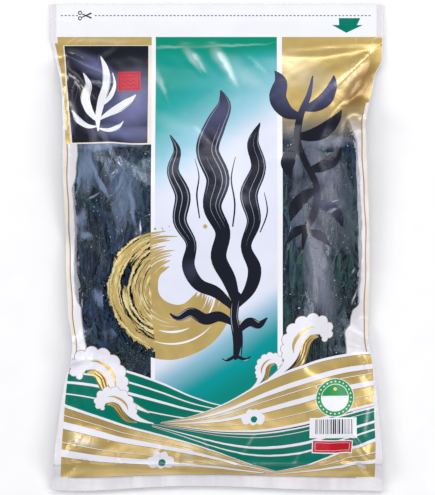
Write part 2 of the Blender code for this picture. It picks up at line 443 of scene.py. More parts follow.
def through(points, steps=6):
    """Points of a smooth curve through the given ones, which may carry a half width."""
    points = np.asarray(points, float)
    padded = np.concatenate([points[:1], points, points[-1:]])
    weights = spline_weights(np.arange(steps) / steps)
    curve = [
        sum(weight[:, None] * padded[start + k] for k, weight in enumerate(weights))
        for start in range(len(points) - 1)
    ]
    return np.concatenate([*curve, points[-1:]])


def directions(line):
    """Unit vectors along a line, and to its left."""
    ahead = np.gradient(line[:, :2], axis=0)
    ahead /= np.maximum(np.linalg.norm(ahead, axis=1), 1e-9)[:, None]
    return ahead, np.stack([-ahead[:, 1], ahead[:, 0]], -1)


# The thinnest half width of a brush stroke, in millimetres.
THINNEST = 0.03


def brush(points, steps=6):
    """Outline of a brush stroke through (x, y, half width) points, with round ends."""
    line = through(points, steps)
    ahead, side = directions(line)
    side = side * np.maximum(line[:, 2:], THINNEST)
    left, right = line[:, :2] + side, line[:, :2] - side
    start = line[0, :2] - ahead[0] * line[0, 2] * 0.8
    end = line[-1, :2] + ahead[-1] * line[-1, 2] * 0.8
    return np.concatenate([left, [end], right[::-1], [start]])


def box(low_x, low_y, high_x, high_y):
    """Outline of a straight-sided box."""
    return np.array([(low_x, low_y), (high_x, low_y), (high_x, high_y), (low_x, high_y)])


def lobed(points, swell, steps=5):
    """Closed outline whose sides each swell outwards in an arc, like foam."""
    points = np.asarray(points, float)
    outline = []
    for start, end in zip(points, np.roll(points, -1, 0)):
        chord = end - start
        out = np.array([chord[1], -chord[0]])
        for share in np.arange(steps) / steps:
            lift = 4 * share * (1 - share) * swell
            outline.append(start + chord * share + out * lift)
    return np.array(outline)


def placed(outline, x, y, size, turn, mirror=1):
    """A unit outline moved to its place on the film."""
    outline = np.array(outline, float)
    angle = math.radians(turn)
    spin = np.array([[math.cos(angle), math.sin(angle)], [-math.sin(angle), math.cos(angle)]])
    outline[:, :2] = outline[:, :2] * [mirror, 1] @ spin * size + [x, y]
    if outline.shape[1] > 2:
        outline[:, 2] *= size
    return outline


def circle(x, y, radius, points, start=0.0, end=360.0):
    """Outline of a disc, or of a part of one cut straight."""
    angle = np.radians(np.linspace(start, end, points, endpoint=end - start < 360))
    return np.stack([x + radius * np.cos(angle), y + radius * np.sin(angle)], -1)


# Places on the film, in millimetres from its bottom middle, seen face on.
PRINT_LOW = 9.7
FRAME_LINE = 2.5
STRIPE_LEFT, STRIPE_RIGHT = -43.7, 43.4
BORDER_LEFT, BORDER_RIGHT = -46.6, 47.0
SQUARE = [(-103.4, 250), (-49.3, 250), (-49, 320.2), (-109.4, 320.2), (-107.6, 296)]
SQUARE_RIM = [
    (-104.4, 249.0), (BORDER_LEFT, 249.0), (BORDER_LEFT, 320.6), (-110.2, 320.6), (-108.5, 296.0),
]
HEADER_SIDE = 115.2
WAVES_TOP = 105.0
# How far out the print goes on the flat film: heights, and distances from its middle.
PRINT_REACH = ((10.0, 55.0, 100.0), (114.2, 116.6, 119.4))
# Where the gold over the right window starts to show, and where it is whole.
FADE_LOW, FADE_WHOLE = 243.0, 278.0


def edge_line(side, low, high, inset, breadth):
    """A strip that follows the pouch's outline at a distance inside it."""
    height = np.linspace(low, high, 40)
    half = half_widths(height)[0 if side < 0 else 1]
    half = half + 0.5 * np.sin(height / 8.0) * np.sin(height / 17.0)
    outer = np.stack([side * (half - inset), height], -1)
    inner = np.stack([side * (half - inset - breadth), height], -1)
    return np.concatenate([outer, inner[::-1]])


# The cutting line's dash, pitch and half length, and the gap that the scissors take.
DASH, PITCH, CUT_HALF = 1.5, 2.7, 112.0
SCISSORS_GAP = (-101, -90)
ARROW = [
    (88, 340.2), (103.5, 340.2), (101, 335.2), (105.5, 335.2),
    (93.5, 329.6), (83, 335.2), (88.2, 335.2),
]


def header_print():
    """The white header with its cutting line, scissors and arrow."""
    shapes = [("white", box(-HEADER_SIDE, HEADER_START, HEADER_SIDE, LENGTH))]
    start = -CUT_HALF
    while start < CUT_HALF:
        if not SCISSORS_GAP[0] < start < SCISSORS_GAP[1]:
            shapes.append(("grey", box(start, 341.6, start + DASH, 342.4)))
        start += PITCH
    for turn in (-1, 1):
        blade = [(-97.0, 342 + 1.3 * turn, 0.35), (-90.2, 342 - 1.7 * turn, 0.6)]
        ring = np.c_[circle(-98.2, 342 + 2.0 * turn, 1.15, 9), np.full(9, 0.38)]
        shapes += [("black", brush(blade)), ("black", brush(ring, 3))]
    shapes.append(("green", np.array(ARROW)))
    return shapes


def frame_print():
    """Gold and clear parts round the windows, with the thin line inside each edge."""
    shapes = [("gold", box(-114.3, 320.6, BORDER_LEFT, HEADER_START))]
    shapes.append(("gold_fade", box(BORDER_RIGHT, FADE_LOW, 119.0, HEADER_START)))
    for side, high in ((-1, 249.0), (1, 279.0)):
        shapes.append(("cream", edge_line(side, WAVES_TOP, high, 0.3, FRAME_LINE)))
        shapes.append(("tan", edge_line(side, WAVES_TOP - 6, high + 2, FRAME_LINE, 0.8)))
    shapes.append(("gold", edge_line(-1, 249.2, 322.0, 1.9, 14.0)))
    shapes.append(("cream", np.array(SQUARE_RIM)))
    return shapes


# Blades of the white sprig: x, y and half width of each, in millimetres.
SPRIG = [
    [(-84, 258, 0.5), (-84.5, 268, 1.9), (-82.5, 280, 2.6), (-79, 292, 2.8),
     (-79.5, 303, 2.3), (-83, 312.5, 0.4)],
    [(-84, 264, 0.6), (-90.5, 272, 2.4), (-94, 282, 3.1), (-92, 292, 2.6),
     (-95.5, 300.5, 0.4)],
    [(-83.5, 266, 0.6), (-77.5, 270.5, 1.9), (-70, 275.5, 2.9), (-62.5, 281, 2.3),
     (-58, 285, 0.4)],
    [(-82.5, 276, 0.5), (-76, 284, 1.6), (-73, 293, 1.3), (-74.5, 301, 0.3)],
    [(-84.5, 261, 0.4), (-91.5, 261.5, 1.5), (-99, 266.5, 2), (-103, 273, 0.4)],
    [(-83.5, 259.5, 0.4), (-77, 258.5, 1.3), (-70, 261.5, 1.7), (-66.5, 266, 0.3)],
]


def square_print():
    """The dark square with a white sprig and a plain red mark."""
    shapes = [("indigo", np.array(SQUARE))]
    shapes += [("white", brush(blade)) for blade in SPRIG]
    random = np.random.default_rng(12)
    for blade in SPRIG:
        shapes += [("indigo", mark) for mark in bristle_marks(blade, random, 2, 0.4, 1.0, 0.16)]
    shapes.append(("red", box(-70.7, 288.0, -54.6, 301.7)))
    shapes.append(("deep_red", box(-69.6, 289.1, -55.7, 300.6)))
    shapes.append(("red", box(-69.2, 289.5, -56.1, 300.2)))
    for height in (291.8, 294.8, 297.8):
        across = np.linspace(-67.8, -57.5, 6)
        bends = [(x, height + 0.7 * (-1) ** k, 0.22) for k, x in enumerate(across)]
        shapes.append(("deep_red", brush(bends, 4)))
    return shapes


def stripe_print():
    """The middle stripe and its white borders."""
    return [
        ("white", box(BORDER_LEFT, 55.0, BORDER_RIGHT, HEADER_START)),
        ("stripe", box(STRIPE_LEFT, 50.0, STRIPE_RIGHT, HEADER_START)),
    ]


# Brush strokes of a kelp plant: x, y and half width of each, in millimetres.
KELP = [
    [(13.5, 96, 1.6), (15, 110, 3.4), (12.5, 126, 3), (14.5, 142, 3.4)],
    [(14, 136, 2.6), (9, 152, 5), (1.5, 168, 5.6), (4.5, 186, 5.4), (-3, 204, 6.6),
     (1, 224, 8.4), (-6.5, 244, 8.2), (-1, 262, 7.4), (5.5, 277, 5), (3, 288, 0.6)],
    [(12, 132, 2), (0, 143, 4), (-13, 149, 4.4), (-20, 162, 4.6), (-18, 178, 3.8),
     (-26, 194, 5), (-24, 212, 5.6), (-31, 229, 4.4), (-28, 244, 2.6), (-33, 255, 0.5)],
    [(15, 134, 2), (24, 146, 4.2), (27, 160, 4.8), (21, 176, 3.8), (26.5, 194, 5),
     (23, 213, 6.4), (30, 232, 5.4), (26, 250, 4.2), (31, 264, 0.5)],
    [(12, 121, 1.8), (2, 126, 3.6), (-8, 124, 4), (-18, 129, 3.4), (-27, 125, 2.2),
     (-33, 128, 0.5)],
    [(15, 115, 1.6), (23, 122, 3.2), (30, 120, 2.8), (36, 125, 0.5)],
    [(13.5, 98, 1.2), (8, 95, 1), (4, 96, 0.3)],
    [(14, 98, 1.2), (20, 95.5, 1), (24.5, 97.5, 0.3)],
]
# Thin dry strokes beside the broad ones.
DRY = [
    [(11.5, 190, 0.5), (13, 206, 0.6), (10.5, 224, 0.5), (13.5, 240, 0.2)],
    [(-12, 196, 0.4), (-14, 212, 0.6), (-12.5, 226, 0.4), (-15.5, 238, 0.15)],
    [(31, 186, 0.4), (36, 200, 0.5), (34, 214, 0.2)],
    [(18, 118, 0.3), (18.3, 108, 0.5), (17.6, 97, 0.25)],
]
# A smaller frond for the right side.
FROND = [
    [(61, 174, 0.6), (63.5, 188, 2.4), (70, 202, 2.6), (71, 218, 2.2), (64, 234, 2.4),
     (57.5, 250, 2.6), (59.5, 268, 2.4), (66, 284, 1.8), (69, 298, 0.5)],
    [(59.5, 268, 2.2), (50, 272, 5), (44, 282, 6.2), (46, 294, 4.6), (42, 302, 0.5)],
    [(61.5, 274, 2), (70, 276, 4), (78.5, 282, 5), (83, 291.5, 3), (84, 298, 0.5)],
    [(58, 254, 2.2), (67, 255, 4.2), (77, 259, 5.2), (86, 267, 3.4), (90, 273, 0.5)],
    [(59.5, 246, 2), (53.5, 243, 3.8), (50.5, 234, 4.8), (53, 225, 0.5)],
    [(66, 230, 2), (75, 233, 4), (83, 238, 4.4), (88.5, 246, 0.5)],
    [(71, 216, 2), (63, 212, 3.8), (56, 204, 4.2), (52.5, 194, 0.5)],
    [(70.5, 206, 2), (78, 205, 4), (85.5, 199, 3.8), (90, 190, 0.5)],
    [(64, 190, 1.8), (56, 186, 3.2), (50, 178.5, 0.5)],
    [(64.5, 187, 1.6), (73, 183.5, 3.2), (80, 177, 0.5)],
]


def bristle_marks(stroke, random, count, start=0.35, end=1.0, breadth=0.26):
    """Thin marks that a drying brush leaves along the last part of a stroke."""
    line = through(stroke, 6)
    _, side = directions(line)
    marks = []
    for aside in np.linspace(-0.78, 0.78, count) + random.uniform(-0.12, 0.12, count):
        first = random.uniform(start, start + 0.3)
        last = min(end, first + random.uniform(0.25, 0.6))
        begin = int(first * len(line))
        rows = slice(begin, max(int(last * len(line)), begin + 4))
        half = breadth * random.uniform(0.6, 1.5) * np.sin(np.linspace(0.15, 3.0, len(line[rows])))
        spots = line[rows, :2] + side[rows] * aside * line[rows, 2:]
        marks.append(brush(np.c_[spots, half], 2))
    return marks


def kelp_print():
    """Brushed kelp plants over the stripe and the right window."""
    random = np.random.default_rng(17)
    shapes = []
    for stroke in KELP + DRY + FROND:
        shapes.append(("indigo", brush(stroke)))
    for stroke in KELP + FROND:
        broad = max(half for _, _, half in stroke)
        marks = bristle_marks(stroke, random, 1 + int(broad / 2.2))
        ink = "pale" if stroke in KELP else "indigo"
        shapes += [(ink, mark) for mark in marks]
    return shapes


# The brushed ring: middle, outer radius, and where its opening starts and ends in degrees.
RING = (-34.0, 142.0, 45.0)
RING_GAP = (14.0, 88.0)
RING_SHIFT = 2.8
# Breadth of the ring's brush and its number of bristle tracks.
RING_BREADTH, RING_TRACKS = 30, 15
# Bare streaks in the ring: start and end in degrees, radius, half width.
RING_STREAKS = ((-38, 12, 31, 0.7), (250, 318, 37.5, 0.7), (252, 296, 29, 0.8))
# Flecks that flew off the brush: x, y and radius.
RING_FLECKS = ((16.5, 122, 1.2), (18, 116, 0.8), (12.5, 110.5, 0.7), (-8, 190, 1.6))


def arc(x, y, reach, angle, half):
    """Points of a brushed arc round a middle, with their half widths."""
    return np.stack([x + reach * np.cos(angle), y + reach * np.sin(angle), half], -1)


def ring_tracks(random):
    """The bristle tracks of the brushed ring, from the outside in."""
    x, y, radius = RING
    shapes = []
    for track in range(RING_TRACKS):
        share = track / (RING_TRACKS - 1)
        reach = radius - RING_BREADTH * share
        first = RING_GAP[1] + random.uniform(-14, 10) + 24 * share
        last = 360 + RING_GAP[0] - 28 * share + random.uniform(-16, 8)
        angle = np.linspace(first, last, 15)
        loaded = 0.5 + 0.5 * np.cos(np.radians(angle - 245))
        shift = 2 * RING_SHIFT * share
        half = RING_BREADTH / RING_TRACKS * (0.42 + 0.34 * loaded) * random.uniform(0.8, 1.2)
        half = half * np.clip((angle - first) / 14 + 0.25, 0, 1)
        half = half * np.clip((last - angle) / 12 + 0.2, 0, 1)
        wave = reach + random.uniform(-0.35, 0.35, len(angle))
        shapes.append(("ring", brush(arc(x + shift, y + shift, wave, np.radians(angle), half), 4)))
    return shapes


def ring_print():
    """A ring drawn with a broad, dry brush: many bristle tracks side by side."""
    random = np.random.default_rng(21)
    x, y, radius = RING
    shapes = ring_tracks(random)
    for start, end, reach, half in RING_STREAKS:
        angle = np.radians(np.linspace(start, end, 9))
        half = half * np.sin(np.linspace(0.15, np.pi - 0.15, 9))
        shapes.append(("white", brush(arc(x + 2, y + 2, reach, angle, half), 4)))
    outer = np.radians(np.linspace(140, 196, 9))
    shapes.append(("ring", brush(arc(x, y + 6, 54, outer, np.linspace(0.5, 0.15, 9)), 4)))
    for _ in range(46):
        angle = math.radians(random.uniform(84, 262))
        reach = radius + random.exponential(1.6) * (1 if random.uniform() < 0.6 else -1)
        spot = x + reach * math.cos(angle), y + reach * math.sin(angle)
        shapes.append(("ring", circle(*spot, random.uniform(0.3, 0.95), 7)))
    shapes += [("ring", circle(*fleck, points=9)) for fleck in RING_FLECKS]
    return shapes


# Each swell of the waves: ink, upper edge, lower edge, white lines as shares of its depth.
SWELLS = [
    (
        "green",
        [(-115, 93), (-95, 92), (-70, 88), (-45, 80), (-22, 70), (0, 62.5), (25, 55), (60, 46),
         (119, 60)],
        [(-115, 5), (-95, 5), (-70, 5), (-45, 5), (-22, 5), (0, 5), (25, 5), (60, 5), (119, 5)],
        [],
    ),
    (
        "green",
        [(-115, 92), (-90, 91.5), (-65, 88), (-40, 79.5), (-18, 69.5), (2, 63), (22, 60.5)],
        [(-115, 64), (-90, 60), (-65, 53.5), (-40, 48.5), (-18, 47), (2, 49), (22, 55)],
        [(0, 0.05), (0.22, 0.26), (0.44, 0.50), (0.74, 0.77)],
    ),
    (
        "gold",
        [(-40, 50), (-18, 54.5), (6, 64), (34, 80), (62, 92), (90, 98.5), (119, 101)],
        [(-40, 49), (-18, 45.5), (6, 43), (34, 43.5), (62, 48.5), (90, 56.5), (119, 63)],
        [(0, 0.045), (0.23, 0.32), (0.40, 0.412), (0.54, 0.63), (0.79, 0.80), (0.955, 1)],
    ),
    (
        "green",
        [(-46, 49), (-18, 44.8), (8, 42), (34, 42.5), (62, 47.5), (90, 55.5), (119, 62)],
        [(-46, 46), (-18, 34), (8, 23), (34, 17), (62, 19), (90, 29), (119, 38)],
        [(0, 0.035), (0.12, 0.135), (0.40, 0.47), (0.64, 0.69)],
    ),
    (
        "gold",
        [(-119, 66), (-92, 57), (-64, 48), (-36, 40), (-8, 31.5), (20, 21), (56, 9.7)],
        [(-119, 9.7), (-92, 9.7), (-64, 9.7), (-36, 9.7), (-8, 9.7), (20, 9.7), (56, 9.6)],
        [(0, 0.045), (0.15, 0.16), (0.24, 0.34), (0.52, 0.53), (0.62, 0.72)],
    ),
    (
        "gold",
        [(18, 9.8), (44, 14), (66, 20), (90, 30), (119, 40)],
        [(18, 9.7), (44, 9.7), (66, 9.7), (90, 9.7), (119, 9.7)],
        [(0, 0.09), (0.34, 0.36), (0.52, 0.62)],
    ),
]


# Breadth of the fine line under each white one.
LINE_RIM = 0.28


def swell_bands(swells):
    """Swells of the sea as broad bands with thin white lines that flow with them."""
    shapes = []
    for ink, upper, lower, lines in swells:
        upper, lower = through(upper), through(lower)
        shapes.append((ink, np.concatenate([upper, lower[::-1]])))
        for start, end in lines:
            top = upper + (lower - upper) * start
            bottom = upper + (lower - upper) * end
            shapes.append(("foam", np.concatenate([top, bottom[::-1]])))
            rim = bottom - [0, LINE_RIM]
            shapes.append(("brown", np.concatenate([bottom, rim[::-1]])))
    return shapes


# A breaking crest one unit high: x, y and half width along its body.
CREST = [
    (2.45, -1.12, 0.02), (2, -0.98, 0.07), (1.55, -0.78, 0.14), (1.18, -0.42, 0.24),
    (0.90, 0.06, 0.33), (0.48, 0.42, 0.36), (-0.04, 0.50, 0.31), (-0.38, 0.28, 0.23),
    (-0.42, 0.02, 0.13),
]
# Rounded lobes of foam along the outer side: x, y and radius.
LOBES = [
    (1.40, -0.34, 0.15), (1.30, -0.06, 0.21), (1.10, 0.28, 0.26), (0.78, 0.60, 0.29),
    (0.36, 0.80, 0.29), (-0.10, 0.82, 0.27), (-0.48, 0.62, 0.25), (-0.70, 0.30, 0.21),
    (-0.68, 0, 0.16), (-0.44, -0.12, 0.13),
]
# Gold curls inside the crest, and the fine lines drawn in them.
CURLS = [
    [(1.50, -1.02, 0.02), (1.04, -0.86, 0.10), (0.66, -0.50, 0.17), (0.44, -0.10, 0.18),
     (0.12, 0.10, 0.13), (-0.14, 0.06, 0.04)],
    [(1.04, -0.30, 0.01), (0.94, 0.04, 0.06), (0.66, 0.34, 0.07), (0.26, 0.52, 0.05),
     (-0.08, 0.52, 0.01)],
]
CURL_LINES = [
    [(1.40, -1, 0.01), (0.98, -0.84, 0.03), (0.62, -0.48, 0.03), (0.40, -0.08, 0.03),
     (0.08, 0.08, 0.01)],
    [(1.34, -0.94, 0.01), (1.02, -0.76, 0.03), (0.72, -0.42, 0.03), (0.50, -0.02, 0.03),
     (0.14, 0.18, 0.01)],
    [(1.02, -1.02, 0.01), (0.66, -0.74, 0.03), (0.40, -0.36, 0.03), (0.16, -0.04, 0.01)],
]


def foam(x, y, size, turn, mirror=1):
    """A breaking crest: a hooked body with rounded lobes of foam and gold curls."""

    def put(points):
        return placed(points, x, y, size, turn, mirror)

    shapes = []
    for ink, crest, lobes in (("tan", rimmed(CREST), rimmed(LOBES)), ("foam", CREST, LOBES)):
        shapes.append((ink, brush(put(crest))))
        shapes += [(ink, circle(*put([lobe])[0], points=14)) for lobe in lobes]
    shapes += [("gold", brush(put(curl))) for curl in CURLS]
    shapes += [("brown", brush(put(line), 4)) for line in CURL_LINES]
    return shapes


def rimmed(stroke):
    """The same stroke a little broader, for the thin line that shows round it."""
    return [(x, y, half + 0.022) for x, y, half in stroke]


def puff(x, y, size):
    """A small cloud of spray."""
    low = [
        (-1.0, -0.2), (-0.6, 0.45), (0.0, 0.75), (0.6, 0.45), (1.0, -0.2), (0.3, -0.45),
        (-0.3, -0.45),
    ]
    cloud = lobed(np.array(low)[::-1] * size + [x, y], 0.34)
    gap = circle(x + 0.1 * size, y - 0.1 * size, 0.3 * size, 12, 0, 300)
    return [("foam", cloud), ("green", gap)]


def wave_print():
    """The sea at the bottom: swells, crests and spray in a layout of its own."""
    shapes = swell_bands(SWELLS[:2])
    shapes += foam(-90.0, 84.0, 18.5, -8)
    shapes += foam(-76.0, 62.0, 12.5, 2)
    shapes += foam(70.0, 110.0, 17.0, 16, -1)
    shapes += foam(40.0, 91.0, 9.0, 22, -1)
    shapes += swell_bands(SWELLS[2:])
    shapes += puff(-40.0, 21.0, 9.0) + puff(26.0, 53.0, 8.0)
    return shapes


# The middle of the round badge.
BADGE = (84.3, 67.8)
# The small label: its middle and its turn, then its panels from the lowest up:
# ink, half length and half height of a unit box, and the size of the unit.
LABEL, LABEL_TURN = (82.8, 32.6), -1.5
LABEL_PANELS = (
    ("white", 1, 0.34, 14.6), ("red", 1, 0.30, 13.9),
    ("white", 0.9, 0.21, 13.9), ("red", 0.885, 0.195, 13.9),
)


def label_print():
    """The round badge, the striped panel and the small label."""
    shapes = [
        ("foam", circle(*BADGE, 13.8, 44)),
        ("badge", circle(*BADGE, 13.3, 44)),
        ("white", circle(*BADGE, 9.9, 36)),
        ("badge", circle(*BADGE, 9.4, 30, 8, 172)),
        ("gold", circle(BADGE[0], BADGE[1] + 6.2, 1.3, 10)),
        ("white", box(66.4, 39.0, 100.0, 53.6)),
    ]
    for angle in np.radians(np.arange(0, 360, 15)):
        spot = BADGE[0] + 11.6 * math.cos(angle), BADGE[1] + 11.6 * math.sin(angle)
        shapes.append(("white", circle(*spot, 0.6, 6)))
    random = np.random.default_rng(8)
    place = 70.6
    while place < 96.5:
        breadth = random.choice([0.33, 0.33, 0.66, 0.99])
        shapes.append(("black", box(place, 42.0, place + breadth, 52.4)))
        place += breadth + random.choice([0.33, 0.66, 0.66, 0.99])
    for ink, side, rise, size in LABEL_PANELS:
        shapes.append((ink, placed(box(-side, -rise, side, rise), *LABEL, size, LABEL_TURN)))
    return shapes


INKS = (
    "clear", "white", "cream", "gold", "gold_fade", "ring", "indigo", "stripe", "green",
    "badge", "foam", "pale", "red", "deep_red", "tan", "brown", "grey", "black",
)


# The longest side of a printed outline, in millimetres.
LONGEST_SIDE = 3.0


def print_layers():
    """Every printed shape with its ink, the lowest first, on the flat film."""
    shapes = frame_print() + stripe_print() + square_print() + header_print()
    shapes += ring_print() + kelp_print() + wave_print() + label_print()
    layers = []
    for ink, outline in shapes:
        flat = flat_places(divided(np.asarray(outline)[:, :2], LONGEST_SIDE))
        low = PRINT_LOW * FLAT_LENGTH / LENGTH
        reach = np.interp(flat[:, 1], *PRINT_REACH)
        inside_x = np.clip(flat[:, 0], -reach, reach)
        inside_y = np.clip(flat[:, 1], low, FLAT_LENGTH - 0.1)
        layers.append((ink, np.stack([inside_x, inside_y], -1)))
    return layers


def divided(outline, longest):
    """Adds points to a closed outline, so that no side is longer than this."""
    points = []
    for start, end in zip(outline, np.roll(outline, -1, 0)):
        pieces = max(1, math.ceil(np.linalg.norm(end - start) / longest))
        points += [start + (end - start) * k / pieces for k in range(pieces)]
    return np.array(points)


def inside_outline(places, outline):
    """True for the places inside a closed outline, counted by crossings."""
    found = np.zeros(len(places), bool)
    low, high = outline.min(0), outline.max(0)
    near = np.flatnonzero(((places >= low) & (places <= high)).all(1))
    x, y = places[near, 0][:, None], places[near, 1][:, None]
    start, end = outline, np.roll(outline, -1, 0)
    spans = (start[:, 1] > y) != (end[:, 1] > y)
    rise = end[:, 1] - start[:, 1]
    rise = np.where(rise == 0, 1e-12, rise)
    cross = start[:, 0] + (y - start[:, 1]) / rise * (end[:, 0] - start[:, 0])
    found[near] = (spans & (x < cross)).sum(1) % 2 == 1
    return found


# Points of the film's mesh closer than this are one, in millimetres.
WELD = 0.01
# Step of the plain back film's mesh, and how much coarser a quick front film is.
BACK_STEP, QUICK_STEP = 3.0, 1.5


def film_points(step):
    """Rows of points over the flat film, every other row set half a step over."""
    rows = int(FLAT_LENGTH / (step * 0.87))
    columns = int(WIDTH / step)
    points = []
    for row in range(rows + 1):
        count = columns + row % 2
        across = np.linspace(-WIDTH / 2, WIDTH / 2, count + 1)
        points.append(np.stack([across, np.full(count + 1, FLAT_LENGTH * row / rows)], -1))
    return np.concatenate(points)


def printed_triangles(step):
    """Triangles of the flat film that follow every printed outline, with their inks."""
    layers = print_layers()
    outlines = [outline for _, outline in layers]
    drawn = np.concatenate(outlines)
    tree = kdtree.KDTree(len(drawn))
    for number, point in enumerate(drawn):
        tree.insert((*point, 0), number)
    tree.balance()
    plain = film_points(step)
    border = (abs(plain[:, 0]) > WIDTH / 2 - WELD) | (plain[:, 1] < WELD)
    border |= plain[:, 1] > FLAT_LENGTH - WELD
    clear = [edge or tree.find((*point, 0))[2] > step * 0.3 for point, edge in zip(plain, border)]
    points = np.concatenate([plain[clear], drawn])
    sides = []
    start = sum(clear)
    for outline in outlines:
        count = len(outline)
        sides += [(start + k, start + (k + 1) % count) for k in range(count)]
        start += count
    found = delaunay_2d_cdt([Vector(point) for point in points], sides, [], 0, WELD, False)
    places = np.array([tuple(point) for point in found[0]])
    triangles = np.array([face for face in found[2] if len(face) == 3])
    middles = places[triangles].mean(1)
    inks = np.zeros(len(triangles), int)
    for ink, outline in layers:
        inks[inside_outline(middles, outline)] = INKS.index(ink)
    return places, triangles, inks


def light(red, green, blue):
    """A colour given from 0 to 255, as the linear light that a shader takes."""
    share = np.array([red, green, blue]) / 255
    return tuple(np.where(share < 0.04045, share / 12.92, ((share + 0.055) / 1.055) ** 2.4))


def connect(tree, value, socket):
    """Links a socket's output to an input, or sets the input to a plain value."""
    if isinstance(value, bpy.types.NodeSocket):
        tree.links.new(value, socket)
    elif isinstance(value, (tuple, list)) and socket.type == "RGBA":
        socket.default_value = (*value, 1.0)
    else:
        socket.default_value = value


def set_inputs(tree, made, values):
    """Links or sets a node's inputs, by their names or numbers."""
    for name, value in values.items():
        connect(tree, value, made.inputs[name])


def node(tree, kind, values=None, **settings):
    """A node with its settings and its inputs."""
    made = tree.nodes.new(kind)
    for name, value in settings.items():
        setattr(made, name, value)
    set_inputs(tree, made, values or {})
    return made


def maths(tree, operation, *values, clamp=False):
    """The output of a math node."""
    made = node(tree, "ShaderNodeMath", dict(enumerate(values)), operation=operation)
    made.use_clamp = clamp
    return made.outputs[0]


def plus(tree, first, second):
    """One value added to another."""
    return maths(tree, "ADD", first, second)


def less(tree, first, second):
    """One value taken from another."""
    return maths(tree, "SUBTRACT", first, second)


def times(tree, first, second):
    """One value multiplied by another."""
    return maths(tree, "MULTIPLY", first, second)


def larger(tree, first, second):
    """The larger of two values."""
    return maths(tree, "MAXIMUM", first, second)


def shaken(tree, value, drawn, amount):
    """A value pushed up and down by noise."""
    return maths(tree, "MULTIPLY_ADD", less(tree, drawn, 0.5), amount, value)


def between(tree, value, low, high, to_low=0.0, to_high=1.0):
    """A value that eases from one level to another as the input goes from low to high."""
    values = {"Value": value, "From Min": low, "From Max": high}
    values |= {"To Min": to_low, "To Max": to_high}
    made = node(tree, "ShaderNodeMapRange", values, interpolation_type="SMOOTHSTEP")
    return made.outputs["Result"]


def followed(tree, value, steps):
    """A value read off straight lines between pairs of input and output."""
    result = steps[0][1]
    for (low, start), (high, end) in zip(steps, steps[1:]):
        result = plus(tree, result, between(tree, value, low, high, 0.0, end - start))
    return result


def blended(tree, share, first, second):
    """A colour between two others."""
    made = node(tree, "ShaderNodeMix", data_type="RGBA")
    for name, value in (("Factor_Float", share), ("A_Color", first), ("B_Color", second)):
        socket = next(s for s in made.inputs if s.identifier == name)
        connect(tree, value, socket)
    return next(s for s in made.outputs if s.identifier == "Result_Color")


def faded(tree, value, low, high, first, second):
    """A colour that turns from one to another as a value goes from low to high."""
    return blended(tree, between(tree, value, low, high), first, second)


def noise(tree, place, scale, detail=2.0, roughness=0.5, distortion=0.0):
    """Plain noise from 0 to 1 at a place."""
    values = {"Vector": place, "Scale": scale, "Detail": detail}
    values |= {"Roughness": roughness, "Distortion": distortion}
    return node(tree, "ShaderNodeTexNoise", values).outputs[0]


def object_place(tree):
    """Object coordinates, in metres."""
    return node(tree, "ShaderNodeTexCoord").outputs["Object"]


def stored(tree, name):
    """A value stored on the mesh."""
    return node(tree, "ShaderNodeAttribute", attribute_name=name).outputs["Fac"]


def bumped(tree, height, strength, reach):
    """A normal that follows a height, which reaches this far in metres."""
    values = {"Strength": strength, "Distance": reach, "Height": height}
    return node(tree, "ShaderNodeBump", values).outputs[0]


def streaked(tree, place, stretch, turn=0.0, *shape):
    """Noise that is stretched and turned into streaks."""
    values = {"Vector": place, "Scale": stretch, "Rotation": (0, 0, turn)}
    return noise(tree, node(tree, "ShaderNodeMapping", values).outputs[0], 1.0, *shape)


def new_group(name, inputs, outputs):
    """An empty shader group with its sockets, and its two end nodes."""
    tree = bpy.data.node_groups.new(name, "ShaderNodeTree")
    for label, kind, value in inputs:
        socket = tree.interface.new_socket(label, in_out="INPUT", socket_type="NodeSocket" + kind)
        socket.default_value = (*value, 1.0) if kind == "Color" else value
    for label, kind in outputs:
        tree.interface.new_socket(label, in_out="OUTPUT", socket_type="NodeSocket" + kind)
    return tree, tree.nodes.new("NodeGroupInput").outputs, tree.nodes.new("NodeGroupOutput").inputs


# How much a patch narrows towards the end that it is turned to, and how narrow it may get.
PATCH_TAPER, PATCH_LEAST = 0.5, 0.25


